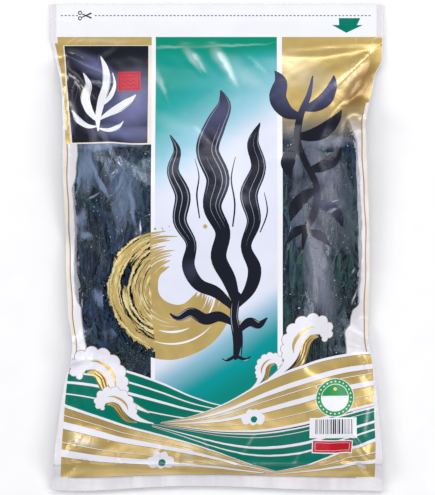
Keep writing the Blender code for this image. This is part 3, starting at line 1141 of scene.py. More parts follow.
@lru_cache(maxsize=None)
def patch_group():
    """A soft long patch on the film, narrower ahead, in millimetres seen face on, as a mask."""
    inputs = {"X": 0.0, "Y": 0.0, "Half Length": 10.0, "Half Width": 5.0}
    inputs |= {"Turn": 0.0, "Soft": 0.7, "Waver": 3.0}
    inputs = [(label, "Float", value) for label, value in inputs.items()]
    tree, given, result = new_group("film_patch", inputs, [("Mask", "Float")])
    place = object_place(tree)
    bent = node(tree, "ShaderNodeTexNoise", {"Vector": place, "Scale": 55.0, "Detail": 3.0})
    bent = node(tree, "ShaderNodeSeparateXYZ", {0: bent.outputs["Color"]}).outputs
    parts = node(tree, "ShaderNodeSeparateXYZ", {0: place}).outputs
    across = times(tree, parts[0], 1 / MM)
    along = maths(tree, "MULTIPLY_ADD", parts[1], 1 / MM, LENGTH / 2)
    offsets = []
    for value, middle, shake in ((across, given["X"], bent[0]), (along, given["Y"], bent[1])):
        shake = times(tree, less(tree, shake, 0.5), given["Waver"])
        offsets.append(plus(tree, less(tree, value, middle), shake))
    cosine, sine = maths(tree, "COSINE", given["Turn"]), maths(tree, "SINE", given["Turn"])
    right, up = offsets
    ahead = plus(tree, times(tree, right, cosine), times(tree, up, sine))
    aside = less(tree, times(tree, up, cosine), times(tree, right, sine))
    ahead = maths(tree, "DIVIDE", ahead, given["Half Length"])
    narrowed = larger(tree, maths(tree, "MULTIPLY_ADD", ahead, -PATCH_TAPER, 1.0), PATCH_LEAST)
    aside = maths(tree, "DIVIDE", aside, times(tree, narrowed, given["Half Width"]))
    reach = plus(tree, times(tree, ahead, ahead), times(tree, aside, aside))
    start = less(tree, 1.0, given["Soft"])
    mask = between(tree, maths(tree, "SQRT", reach), start, 1.0, 1.0, 0.0)
    connect(tree, mask, result["Mask"])
    return tree


def patches(tree, places, soft, waver):
    """The strongest of several patches, which are given in the terms of HAZE_AND_REFLECTIONS."""
    strongest = 0.0
    for x, y, half_length, half_width, turn, strength in places:
        made = node(tree, "ShaderNodeGroup", node_tree=patch_group())
        values = {"X": x, "Y": y, "Half Length": half_length, "Half Width": half_width}
        values |= {"Turn": math.radians(turn), "Soft": soft, "Waver": waver}
        set_inputs(tree, made, values)
        strongest = larger(tree, times(tree, made.outputs["Mask"], strength), strongest)
    return strongest


# How high the crease above the bottom seal lies.
BOTTOM_CREASE = 19.6


@lru_cache(maxsize=None)
def crinkle_group():
    """Small creases and waves of a thin laminate, as a normal."""
    tree, given, result = new_group(
        "film_crinkle",
        [("Depth", "Float", 0.5), ("Crease", "Float", 0.5)],
        [("Normal", "Vector")],
    )
    place = object_place(tree)
    waves = noise(tree, place, 60, 2.0, 0.5, 0.4)
    long_waves = streaked(tree, place, (75, 22, 30), 0.15, 2.0, 0.5, 0.6)
    folds = streaked(tree, place, (60, 34, 40), -0.5, 1.0, 0.4, 1.2)
    ridge = maths(tree, "ABSOLUTE", less(tree, folds, 0.5))
    ridge = between(tree, ridge, 0.0, 0.035, 1.0, 0.0)
    height = maths(tree, "MULTIPLY_ADD", long_waves, 0.8, times(tree, waves, 0.5))
    height = maths(tree, "MULTIPLY_ADD", times(tree, ridge, given["Crease"]), 0.22, height)
    along = node(tree, "ShaderNodeSeparateXYZ", {0: place}).outputs[1]
    along = plus(tree, along, (LENGTH / 2 - BOTTOM_CREASE) * MM)
    along = shaken(tree, along, waves, 5 * MM)
    pressed = between(tree, maths(tree, "ABSOLUTE", along), 0.0, 1.8 * MM, 1.0, 0.0)
    height = maths(tree, "MULTIPLY_ADD", pressed, 3.0, height)
    connect(tree, bumped(tree, height, given["Depth"], 0.0012), result["Normal"])
    return tree


@lru_cache(maxsize=None)
def mottle_group():
    """Slow changes of tone over a printed ink, which multiply its colour."""
    tree, given, result = new_group(
        "ink_mottle",
        [("Color", "Color", (0.8, 0.8, 0.8)), ("Amount", "Float", 0.1), ("Scale", "Float", 30.0)],
        [("Color", "Color")],
    )
    cloudy = noise(tree, object_place(tree), given["Scale"], 3.0, 0.55, 0.3)
    dark = less(tree, 1.0, given["Amount"])
    bright = plus(tree, 1.0, given["Amount"])
    share = between(tree, cloudy, 0.3, 0.7, dark, bright)
    values = {0: given["Color"], "Scale": share}
    scaled = node(tree, "ShaderNodeVectorMath", values, operation="SCALE")
    connect(tree, scaled.outputs[0], result["Color"])
    return tree


def principled(tree):
    """The one surface shader of a material's tree."""
    return next(n for n in tree.nodes if n.type == "BSDF_PRINCIPLED")


def new_material(name):
    """A node material, its tree and its Principled shader."""
    material = bpy.data.materials.new(name)
    material.use_nodes = True
    return material, material.node_tree, principled(material.node_tree)


def use_group(tree, group, **values):
    """Outputs of a shader group placed in a material."""
    made = node(tree, "ShaderNodeGroup", node_tree=group)
    set_inputs(tree, made, values)
    return made.outputs


def flat_spot(tree):
    """Where a point lies on the flat film, in millimetres: across from its middle, and along."""
    flat = node(tree, "ShaderNodeUVMap", uv_map="Flat").outputs[0]
    parts = node(tree, "ShaderNodeSeparateXYZ", {0: flat})
    across = maths(tree, "MULTIPLY_ADD", parts.outputs[0], WIDTH, -WIDTH / 2)
    along = times(tree, parts.outputs[1], LENGTH)
    return across, along


# Where the milky weld starts on the flat film: how far up it, and how far from its middle.
MIST_LEFT = [
    (88, 107.6), (116, 109.4), (131, 108.8), (139, 112.4), (160, 112.6),
    (214, 111.6), (230, 108.4), (244, 106.6),
]
MIST_RIGHT = [
    (94, 98.6), (113, 101.4), (121, 104.8), (129, 105.6), (135, 110.8),
    (176, 112.6), (221, 112.8), (250, 111.6), (262, 108), (270, 103.5),
]
MIST_SOFT = 2.0
# How ragged and how wispy the haze and its painted reflections are, and how milky they get.
HAZE_RAGGED, HAZE_WISPS, HAZE_MOST = 0.34, 0.5, 0.58
# How milky the back film's weld is, and the tint of clear film.
BACK_MILK = 0.62
CLEAR_TINT = (0.70, 0.82, 1.0)
# Where the film stands off the kombu and looks misty, with painted reflections of the room in
# that mist: x, y, half length, half width, turn in degrees, strength.
HAZE_AND_REFLECTIONS = [
    (-77, 248, 34, 6.5, 0, 0.66), (-92, 231, 27, 11, -96, 0.50), (-87, 232, 17, 3, -82, 0.70),
    (-97, 226, 18, 2.6, -100, 0.62), (-82, 218, 15, 2.6, -62, 0.56), (-66, 214, 42, 19, -96, 0.34),
    (-70, 222, 20, 3, -110, 0.52), (-60, 208, 26, 3.4, -84, 0.50), (-97, 196, 16, 5.5, 70, 0.36),
    (-93, 184, 10, 4.2, -24, 0.52), (-83, 140, 10, 7.5, 150, 0.52), (-70, 116, 15, 4, 24, 0.30),
    (76, 232, 36, 17, 122, 0.50), (57, 236, 22, 12, -80, 0.40), (73, 160, 76, 14.5, 101, 0.60),
    (80, 208, 54, 32, 90, 0.34), (60, 200, 40, 12, 96, 0.38), (78, 251, 38, 10, 0, 0.56),
    (101, 214, 24, 5, 92, 0.16),
]
# Painted glints: small bright crinkles in the film, in the same terms.
GLINTS = [
    (-70, 236, 7, 1, -60, 0.9), (-72, 230, 6, 0.8, 50, 0.8), (-88, 212, 7, 1.2, 30, 0.5),
    (-57, 228, 3, 0.9, -20, 0.8), (-54.5, 189, 8, 0.9, 86, 0.9), (-56, 180, 5, 1, 74, 0.7),
    (-104, 175, 12, 0.7, 84, 0.4), (-76, 98, 12, 1, 22, 0.5), (88, 200, 6, 0.8, 40, 0.5),
    (97, 158, 5, 1, 60, 0.6), (84, 208, 7, 0.8, 14, 0.5), (99, 140, 8, 0.9, 66, 0.6),
]


def weld_mask(tree):
    """Where the film is welded and milky, with a slightly wavy inner edge."""
    across, along = flat_spot(tree)
    right = maths(tree, "GREATER_THAN", across, 0.0)
    reach_left, reach_right = followed(tree, along, MIST_LEFT), followed(tree, along, MIST_RIGHT)
    reach = maths(tree, "MULTIPLY_ADD", right, less(tree, reach_right, reach_left), reach_left)
    reach = shaken(tree, reach, noise(tree, object_place(tree), 60.0, 3.0), 3.6)
    beyond = less(tree, maths(tree, "ABSOLUTE", across), reach)
    sides = between(tree, beyond, 0.0, MIST_SOFT)
    return larger(tree, sides, between(tree, along, 8.0, 11.0, 1.0, 0.0))


def front_mist_and_reflections(tree):
    """How milky the front film is from place to place, with painted reflections and glints, and the
    colour of that.
    """
    welded = weld_mask(tree)
    # Haze patches with painted reflections of the room in them.
    soft = patches(tree, HAZE_AND_REFLECTIONS, 0.95, 12.0)
    drawn = streaked(tree, object_place(tree), (90, 36, 40), 0.2, 3.0, 0.55, 0.8)
    soft = shaken(tree, soft, drawn, HAZE_RAGGED)
    wisps = streaked(tree, object_place(tree), (420, 110, 120), 0.12, 3.0, 0.6, 0.5)
    soft = shaken(tree, soft, wisps, HAZE_WISPS)
    soft = times(tree, between(tree, soft, 0.03, 0.66), HAZE_MOST)
    # Painted glints, where the drawn streaks are strong.
    bright = times(tree, patches(tree, GLINTS, 0.9, 4.0), between(tree, drawn, 0.4, 0.55))
    mist = larger(tree, soft, bright)
    bands = streaked(tree, object_place(tree), (46, 9, 20), 0.1, 2.0, 0.6, 0.4)
    milk = times(tree, welded, between(tree, bands, 0.3, 0.7, 0.52, 0.84))
    mist = larger(tree, mist, milk)
    pale = larger(tree, welded, bright)
    across, _ = flat_spot(tree)
    # Painted reflections in the haze are bluer on the left and greyer on the right; painted glints
    # and the milky weld turn near white.
    grey = faded(tree, across, -10.0, 10.0, light(138, 158, 192), light(132, 138, 158))
    return mist, blended(tree, pale, grey, light(252, 250, 254))


def clear_film(front):
    """Bare laminate: see-through, with the room's gloss on it, and misty where it stands off; on
    the front film the mist carries painted reflections and glints.
    """
    material, tree, shader = new_material("clear_front" if front else "clear_back")
    crinkle = use_group(tree, crinkle_group(), Depth=0.3, Crease=1.0)
    facing = node(tree, "ShaderNodeLayerWeight", {"Blend": 0.5, "Normal": crinkle["Normal"]})
    facing = maths(tree, "POWER", facing.outputs["Facing"], 5.0)
    gloss = maths(tree, "MULTIPLY_ADD", facing, 0.9, 0.02)
    gloss = plus(tree, gloss, between(tree, stored(tree, "crease"), 0.15, 0.9, 0.0, 0.16))
    if front:
        mist, tone = front_mist_and_reflections(tree)
    else:
        mist, tone = times(tree, weld_mask(tree), BACK_MILK), light(236, 234, 244)
    share = between(tree, mist, 0.0, 0.12)
    looks = {
        "Base Color": blended(tree, share, CLEAR_TINT, tone),
        "Metallic": less(tree, 1.0, share),
        "Roughness": 0.2,
        "Normal": crinkle["Normal"],
        "Alpha": maths(tree, "ADD", gloss, mist, clamp=True),
    }
    set_inputs(tree, shader, looks)
    return material


def ink(name, colour, mottle=0.05, roughness=0.28, metallic=0.0, scale=30.0, gloss=0.36):
    """A printed ink under the gloss of the laminate."""
    material, tree, shader = new_material(name)
    across, _ = flat_spot(tree)
    crease = between(tree, maths(tree, "ABSOLUTE", across), 72.0, 110.0, 0.4, 2.6)
    crinkle = use_group(tree, crinkle_group(), Depth=0.2, Crease=crease)
    if callable(colour):
        colour = colour(tree)
    toned = use_group(tree, mottle_group(), Color=colour, Amount=mottle, Scale=scale)
    least_coat = 0.35 if metallic else 0.0
    looks = {
        "Base Color": toned["Color"],
        "Roughness": roughness,
        "Metallic": metallic,
        "Normal": crinkle["Normal"],
        "Specular IOR Level": gloss,
        "Specular Tint": (0.86, 0.84, 1.0),
        "Coat Weight": between(tree, stored(tree, "crease"), 0.1, 0.7, least_coat, 1.0),
        "Coat Roughness": 0.2,
        "Coat IOR": 1.8,
    }
    set_inputs(tree, shader, looks)
    return material


# How much lower the stripe's fades lie for each millimetre to the left.
STRIPE_SLANT = 0.6
# Painted highlights where creases in the film catch the light and pale the stripe: x, y, half
# length, half width, turn, strength.
STRIPE_HIGHLIGHTS = [
    (-17, 311, 15, 3.6, -54, 0.42), (6, 307, 21, 6, -56, 0.55), (20, 299, 24, 11, -34, 0.26),
    (-32, 319.2, 22, 1.5, 0, 0.30), (12, 320.8, 40, 1.5, 3, 0.30), (-42, 297, 14, 4, -62, 0.30),
    (-32, 264, 26, 8, -24, 0.14),
]


def stripe_colour(tree):
    """Green at the top, pale in the middle, teal at the bottom, on slanted fades, with painted
    highlights along creases near its top.
    """
    colours = bpy.context.scene.pouch_colours
    across, along = flat_spot(tree)
    slant = maths(tree, "MULTIPLY_ADD", across, -STRIPE_SLANT, along)
    shade = faded(tree, slant, 232, 264, light(226, 230, 246), light(160, 208, 226))
    shade = faded(tree, slant, 252, 300, shade, light(44, 166, 166))
    shade = faded(tree, slant, 290, 322, shade, light(6, 150, 138))
    shade = faded(tree, along, 308, 324, shade, tuple(colours.teal))
    # Painted highlights of the creases.
    shade = blended(tree, patches(tree, STRIPE_HIGHLIGHTS, 0.98, 6.0), shade, light(214, 236, 242))
    shade = faded(tree, slant, 124, 102, shade, light(136, 184, 206))
    shade = faded(tree, slant, 108, 84, shade, light(0, 148, 152))
    return faded(tree, slant, 86, 66, shade, light(0, 134, 126))


# Where the dark inks catch the light: x, y, half length, half width, turn, strength.
SHEEN = [
    (-62, 276, 34, 26, 205, 1.1), (-66, 258, 36, 12, 175, 0.9), (-84, 303, 30, 9, -28, 0.8),
    (-104, 262, 14, 5, 70, 0.3), (0, 270, 44, 22, 0, 0.5), (66, 290, 44, 26, 0, 0.62),
    (82, 214, 26, 16, 90, 0.45), (-16, 160, 16, 10, 20, 0.2),
]


def indigo_colour(tree):
    """Near black ink, which turns violet where the film over it catches the light."""
    deep = tuple(bpy.context.scene.pouch_colours.indigo)
    return blended(tree, patches(tree, SHEEN, 0.98, 8.0), deep, light(108, 112, 154))


# Painted highlights where the gold ink catches the light, a warm painted highlight along the bottom
# strip, and painted shade where it lies in shade, in the terms of HAZE_AND_REFLECTIONS.
GOLD_LIGHT = [
    (6, 57, 40, 7, 18, 0.75), (58, 90, 34, 5, 196, 0.20), (-95, 36, 16, 5, -14, 0.65),
    (-20, 27, 14, 5, -70, 0.45), (-44, 30, 10, 3.6, 80, 0.55), (66, 26, 18, 4, 30, 0.45),
    (-80, 324, 40, 2.4, 0, 0.35), (62, 300, 40, 18, -22, 0.34),
]
GOLD_WARM_HIGHLIGHTS = [
    (-60, 13, 54, 5, 0, 0.9), (60, 13, 54, 5, 0, 0.8),
]
GOLD_DARK = [
    (-84, 46, 50, 22, -12, 0.42), (-86, 26, 34, 4, -8, 0.4), (-106, 48, 14, 6, 100, 0.35),
    (94, 82, 30, 14, 20, 0.40), (88, 22, 26, 3, 8, 0.3),
]


def gold_colour(tree):
    """Gold ink, with painted highlights where the film catches the light and painted shade,
    browner, in its hollows.
    """
    gold = tuple(bpy.context.scene.pouch_colours.gold)
    # Warm painted highlight along the bottom strip.
    gold = blended(tree, patches(tree, GOLD_WARM_HIGHLIGHTS, 0.6, 3.0), gold, light(244, 212, 140))
    # Painted shade where the gold lies in shade.
    dark = blended(tree, patches(tree, GOLD_DARK, 0.9, 5.0), gold, light(150, 116, 54))
    # Painted highlights where the film catches the light.
    return blended(tree, patches(tree, GOLD_LIGHT, 0.95, 6.0), dark, light(238, 230, 208))


# Painted shade of a darker fold in the gold at the top right, in the terms of HAZE_AND_REFLECTIONS.
GOLD_SHADE = [
    (103, 290, 34, 13, 60, 0.95), (94, 274, 18, 9, 70, 0.6),
]


def gold_fade():
    """Gold ink that thins out to misty film over the right window."""

    def thinned(tree):
        _, along = flat_spot(tree)
        _, tone = front_mist_and_reflections(tree)
        # Painted shade of the fold at the top right.
        shade = patches(tree, GOLD_SHADE, 0.7, 3.0)
        gold = blended(tree, shade, gold_colour(tree), light(150, 116, 56))
        return faded(tree, along, FADE_LOW + 4.0, FADE_WHOLE, tone, gold)

    material = ink("gold_fade", thinned, 0.10, 0.36, 0.5)
    tree = material.node_tree
    _, along = flat_spot(tree)
    mist, _ = front_mist_and_reflections(tree)
    covered = larger(tree, mist, between(tree, along, FADE_LOW + 4.0, FADE_WHOLE))
    metal = between(tree, along, FADE_LOW, FADE_WHOLE, 0.0, 0.5)
    set_inputs(tree, principled(tree), {"Alpha": covered, "Metallic": metal})
    return material


# Where a dry brush left the ring streaky over the window: radius and half breadth.
DRY_BAND = (33.5, 6.5)
# How much narrower the filled pouch is than the flat film, at the ring.
FACE_ON_SHARE = 0.896


def ring_ink():
    """Gold of the brushed ring: ragged and streaked through over the window, with painted glints on
    its bristles there, flat on the stripe.
    """
    colours = bpy.context.scene.pouch_colours
    material = ink("ring_gold", tuple(colours.gold), 0.10, 0.34, 0.4, scale=60.0)
    tree = material.node_tree
    shader = principled(tree)
    across, along = flat_spot(tree)
    across = times(tree, across, FACE_ON_SHARE)
    right = less(tree, across, RING[0] + RING_SHIFT)
    up = less(tree, along, RING[1] + RING_SHIFT)
    away = maths(tree, "SQRT", plus(tree, times(tree, right, right), times(tree, up, up)))
    turn = maths(tree, "ARCTAN2", times(tree, up, -1.0), times(tree, right, -1.0))
    ragged = shaken(tree, away, noise(tree, object_place(tree), 260, 3.0, 0.7), 3.4)
    bristles = vector(tree, times(tree, ragged, 0.62), times(tree, turn, 1.5), 0.0)
    bristles = noise(tree, bristles, 1.0, 2.0, 0.6)
    window = between(tree, across, BORDER_LEFT - 0.8, BORDER_LEFT - 0.2, 1.0, 0.0)
    middle, half = DRY_BAND
    band = maths(tree, "ABSOLUTE", less(tree, away, middle))
    band = between(tree, band, half * 0.5, half, 1.0, 0.0)
    bare = between(tree, maths(tree, "MULTIPLY_ADD", band, 0.13, bristles), 0.62, 0.65)
    worn = noise(tree, object_place(tree), 95, 4.0, 0.75, 0.6)
    outer = between(tree, shaken(tree, away, worn, 14.0), 45.6, 46.2)
    bare = times(tree, larger(tree, bare, outer), window)
    connect(tree, less(tree, 1.0, bare), shader.inputs["Alpha"])
    # Painted glints: pale yellow highlights along the bristle streaks over the window.
    bright = times(tree, between(tree, bristles, 0.5, 0.38), window)
    toned = shader.inputs["Base Color"].links[0].from_socket
    connect(tree, blended(tree, bright, toned, light(252, 236, 178)), shader.inputs["Base Color"])
    return material


@lru_cache(maxsize=None)
def film_materials():
    """The printed film's materials, in the order of INKS."""
    colours = bpy.context.scene.pouch_colours
    white, green = tuple(colours.white), tuple(colours.green)
    return [
        clear_film(True),
        ink("white_ink", white, 0.02),
        ink("cream_ink", light(236, 226, 214), 0.03),
        ink("gold_ink", gold_colour, 0.10, 0.36, 0.5),
        gold_fade(),
        ring_ink(),
        ink("indigo_ink", indigo_colour, 0.10, 0.26),
        ink("stripe_ink", stripe_colour, 0.02, gloss=0.2),
        ink("green_ink", green, 0.10, gloss=0.12),
        ink("badge_ink", light(30, 150, 75), 0.05),
        ink("foam_ink", light(236, 236, 246), 0.02),
        ink("dry_brush_ink", light(150, 158, 176), 0.15),
        ink("red_ink", tuple(colours.red), 0.06),
        ink("deep_red_ink", light(122, 6, 20), 0.06),
        ink("tan_ink", light(160, 134, 100), 0.08),
        ink("brown_ink", light(120, 92, 50), 0.08),
        ink("grey_ink", light(110, 112, 118), 0.05),
        ink("black_ink", light(38, 40, 46), 0.05),
    ]


@lru_cache(maxsize=None)
def kombu_material():
    """Dried kelp: near black green and blue, with specks of salt bloom that also stand in for
    painted glints.
    """
    material, tree, shader = new_material("kombu_shreds")
    shade = stored(tree, "shade")
    place = object_place(tree)
    grain = noise(tree, place, 240, 3.0, 0.6)
    patch = noise(tree, place, 42, 3.0, 0.6)
    cold = noise(tree, place, 14, 1.0)
    deep = tuple(bpy.context.scene.pouch_colours.kombu)
    blue = faded(tree, shade, 0.1, 0.9, light(12, 26, 48), light(42, 68, 108))
    green = faded(tree, shade, 0.1, 0.9, light(8, 30, 36), light(24, 68, 68))
    greener = maths(tree, "MULTIPLY_ADD", shade, 0.3, cold)
    tone = faded(tree, greener, 0.54, 0.8, blue, green)
    tone = blended(tree, between(tree, grain, 0.4, 0.8, 0.0, 0.8), tone, deep)
    tone = blended(tree, between(tree, patch, 0.42, 0.66, 0.0, 0.75), tone, deep)
    olive = times(tree, between(tree, patch, 0.45, 0.3), between(tree, shade, 0.6, 0.85))
    tone = blended(tree, times(tree, olive, 0.6), tone, light(58, 92, 62))
    # Pale specks: salt bloom, which also serves as painted glints.
    salt_bloom_and_glints = between(tree, noise(tree, place, 900, 2.0, 0.6), 0.61, 0.68)
    salt_bloom_and_glints = times(tree, salt_bloom_and_glints, between(tree, patch, 0.46, 0.62, 0.05, 0.55))
    looks = {
        "Base Color": blended(tree, salt_bloom_and_glints, tone, light(176, 192, 204)),
        "Roughness": between(tree, grain, 0.3, 0.7, 0.3, 0.55),
        "Specular IOR Level": 0.25,
        "Specular Tint": (0.75, 0.88, 1.0),
        "Normal": bumped(tree, grain, 0.5, 0.0003),
    }
    set_inputs(tree, shader, looks)
    return material


def core_material():
    """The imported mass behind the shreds: the same kelp, darker, in lengthwise streaks."""
    material, tree, shader = new_material("kombu_mass")
    strands = streaked(tree, object_place(tree), (320, 50, 200), 0.1, 3.0, 0.6, 0.4)
    looks = {
        "Base Color": faded(tree, strands, 0.35, 0.7, light(5, 14, 18), light(26, 52, 62)),
        "Roughness": between(tree, strands, 0.3, 0.7, 0.35, 0.6),
        "Normal": bumped(tree, strands, 0.9, 0.0012),
    }
    set_inputs(tree, shader, looks)
    return material


def salt_material():
    """Dry salt crystals: white and a little glassy."""
    material, tree, shader = new_material("salt_crystals")
    frost = noise(tree, object_place(tree), 900, 2.0)
    tone = faded(tree, frost, 0.3, 0.7, light(214, 218, 226), light(250, 251, 253))
    rough = between(tree, frost, 0.3, 0.7, 0.18, 0.5)
    set_inputs(tree, shader, {"Base Color": tone, "Roughness": rough})
    return material


def zip_material():
    """Clear zip strip, a little milky, with fine drawn lines along it."""
    material, tree, shader = new_material("zip_strip")
    lines = streaked(tree, object_place(tree), (8, 900, 900))
    looks = {
        "Base Color": blended(tree, lines, light(214, 216, 224), light(240, 241, 246)),
        "Roughness": between(tree, lines, 0.3, 0.7, 0.16, 0.32),
        "Alpha": 0.55,
        "Normal": bumped(tree, lines, 0.3, 0.0002),
    }
    set_inputs(tree, shader, looks)
    return material


def floor_material():
    """Plain pale paper."""
    material, tree, shader = new_material("pale_floor")
    fibre = noise(tree, object_place(tree), 40, 2.0)
    tone = faded(tree, fibre, 0.2, 0.8, light(249, 249, 250), light(252, 252, 253))
    set_inputs(tree, shader, {"Base Color": tone, "Roughness": 0.9, "Specular IOR Level": 0.2})
    return material


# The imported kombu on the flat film, in millimetres: its ends and its half width.
KOMBU_LOW, KOMBU_HIGH = 26.0, 272.0
KOMBU_HALF = 110.5
# How deep the loose front and back layers go, and the least room that holds a shred.
LAYER_DEPTH = 6.5
LEAST_ROOM = 2.2


def geometry_tree(name, inputs):
    """A geometry tree with named inputs and one geometry output."""
    tree = bpy.data.node_groups.new(name, "GeometryNodeTree")
    tree.interface.new_socket("Geometry", in_out="OUTPUT", socket_type="NodeSocketGeometry")
    keys = {}
    for label, kind in inputs:
        socket = tree.interface.new_socket(label, in_out="INPUT", socket_type="NodeSocket" + kind)
        keys[label] = socket.identifier
    return tree, keys, tree.nodes.new("NodeGroupInput").outputs, tree.nodes.new("NodeGroupOutput")


def random_value(tree, low, high, seed):
    """A random number for each point."""
    made = node(tree, "FunctionNodeRandomValue", data_type="FLOAT")
    values = {"Min": low, "Max": high, "Seed": seed}
    for socket in made.inputs:
        if socket.enabled and socket.name in values:
            connect(tree, values[socket.name], socket)
    return next(s for s in made.outputs if s.enabled)


def vector(tree, x, y, z):
    """A vector from three numbers."""
    return node(tree, "ShaderNodeCombineXYZ", {0: x, 1: y, 2: z}).outputs[0]


def moved(tree, operation, first, second):
    """The vector output of a vector math node."""
    return node(tree, "ShaderNodeVectorMath", {0: first, 1: second}, operation=operation).outputs[0]


def points_on(tree, mesh, density, seed):
    """Random points on a mesh's faces."""
    values = {"Mesh": mesh, "Density": density, "Seed": seed}
    return node(tree, "GeometryNodeDistributePointsOnFaces", values).outputs["Points"]


def set_on(tree, points, shape, turn, size):
    """A copy of a shape on each point, with its own turn and size."""
    spin = node(tree, "FunctionNodeEulerToRotation", {0: turn}).outputs[0]
    values = {"Points": points, "Instance": shape, "Rotation": spin, "Scale": size}
    return node(tree, "GeometryNodeInstanceOnPoints", values).outputs[0]


def realized(tree, copies):
    """Copies made real points and faces."""
    return node(tree, "GeometryNodeRealizeInstances", {0: copies}).outputs[0]


def sent_out(tree, geometry, material, result):
    """Gives a tree's geometry its material and sends it out."""
    finish = node(tree, "GeometryNodeSetMaterial", {"Geometry": geometry, "Material": material})
    tree.links.new(finish.outputs[0], result.inputs[0])


def enabled(sockets, name):
    """The socket in use among those with one name."""
    return next(socket for socket in sockets if socket.name == name and socket.enabled)


# Points of one shred across, along and through it.
SHRED_CUTS = (2, 7, 2)
# Inputs of the tree that scatters the shreds.
SHRED_INPUTS = [
    ("Width", "Float"), ("Length", "Float"), ("Thickness", "Float"), ("Field Width", "Float"),
    ("Field Length", "Float"), ("Count", "Float"), ("Depth", "Float"), ("Seed", "Int"),
    ("Material", "Material"),
]
# How far the shreds wander across, along and up, in metres, and how often.
SHRED_WANDER = (0.022, 0.008, 0.004)
WANDER_SCALE = 38.0


def shred_field(tree, given):
    """Random points on a flat field, and one straight shred of unit size."""
    values = {"Size X": given["Field Width"], "Size Y": given["Field Length"]}
    field = node(tree, "GeometryNodeMeshGrid", values | {"Vertices X": 2, "Vertices Y": 2})
    area = times(tree, given["Field Width"], given["Field Length"])
    density = maths(tree, "DIVIDE", given["Count"], area)
    points = points_on(tree, field.outputs["Mesh"], density, given["Seed"])
    cuts = {f"Vertices {axis}": cut for axis, cut in zip("XYZ", SHRED_CUTS)}
    shred = node(tree, "GeometryNodeMeshCube", {"Size": (1, 1, 1)} | cuts)
    return points, shred.outputs["Mesh"]


def shred_pose(tree, given):
    """Each shred's own turn and size."""
    bend = maths(tree, "POWER", random_value(tree, 0.0, 1.0, 11), 2.6)
    side = maths(tree, "SIGN", random_value(tree, -1.0, 1.0, 12))
    turn = times(tree, times(tree, bend, side), 1.25)
    roll = random_value(tree, -0.6, 0.6, 13)
    tilt = random_value(tree, -0.05, 0.05, 14)
    size = vector(
        tree,
        times(tree, given["Width"], random_value(tree, 0.45, 1.0, 15)),
        times(tree, given["Length"], random_value(tree, 0.4, 1.0, 16)),
        times(tree, given["Thickness"], random_value(tree, 0.7, 1.2, 17)),
    )
    return vector(tree, tilt, roll, turn), size


def sunk(tree, copies, depth):
    """Copies lowered by up to a depth, most of them a little."""
    down = times(tree, depth, maths(tree, "POWER", random_value(tree, 0.0, 1.0, 18), 1.3))
    lowered = {"Instances": copies, "Translation": vector(tree, 0.0, 0.0, times(tree, down, -1.0))}
    lowered["Local Space"] = False
    return node(tree, "GeometryNodeTranslateInstances", lowered).outputs[0]


def shaded(tree, copies):
    """Copies that each carry a random shade from 0 to 1."""
    values = {"Geometry": copies, "Name": "shade"}
    made = node(
        tree, "GeometryNodeStoreNamedAttribute", values, data_type="FLOAT", domain="INSTANCE"
    )
    connect(tree, random_value(tree, 0.0, 1.0, 19), enabled(made.inputs, "Value"))
    return made.outputs[0]


def curled(tree, shreds):
    """Shreds bent by noise, each by noise of its own."""
    shade = node(tree, "GeometryNodeInputNamedAttribute", {"Name": "shade"}, data_type="FLOAT")
    shade = enabled(shade.outputs, "Attribute")
    values = {"Vector": node(tree, "GeometryNodeInputPosition").outputs[0]}
    values |= {"W": times(tree, shade, 60.0), "Scale": WANDER_SCALE, "Detail": 1.0}
    wave = node(tree, "ShaderNodeTexNoise", values, noise_dimensions="4D").outputs["Color"]
    swing = moved(tree, "SUBTRACT", wave, (0.5, 0.5, 0.5))
    swing = moved(tree, "MULTIPLY", swing, SHRED_WANDER)
    return node(tree, "GeometryNodeSetPosition", {"Geometry": shreds, "Offset": swing}).outputs[0]


@lru_cache(maxsize=None)
def shred_tree():
    """Scatters curled shreds over a flat field, each with its own turn, size and shade."""
    tree, keys, given, result = geometry_tree("scattered_shreds", SHRED_INPUTS)
    points, shred = shred_field(tree, given)
    turn, size = shred_pose(tree, given)
    shreds = sunk(tree, set_on(tree, points, shred, turn, size), given["Depth"])
    shreds = realized(tree, shaded(tree, shreds))
    sent_out(tree, curled(tree, shreds), given["Material"], result)
    return tree, keys


def from_nodes(name, tree, keys, values):
    """A plain mesh object made by a geometry tree with these inputs."""
    holder = new_object(name + "_nodes", np.zeros((1, 3)), [])
    made = holder.modifiers.new("nodes", "NODES")
    made.node_group = tree
    for label, value in values.items():
        made[keys[label]] = value
    graph = bpy.context.evaluated_depsgraph_get()
    mesh = bpy.data.meshes.new_from_object(holder.evaluated_get(graph), depsgraph=graph)
    holder.modifiers.remove(made)
    bpy.data.objects.remove(holder, do_unlink=True)
    mesh.name = name
    obj = bpy.data.objects.new(name, mesh)
    bpy.context.scene.collection.objects.link(obj)
    return obj


def vertex_array(mesh):
    """A mesh's points as an array."""
    points = np.empty(len(mesh.vertices) * 3)
    mesh.vertices.foreach_get("co", points)
    return points.reshape(-1, 3)


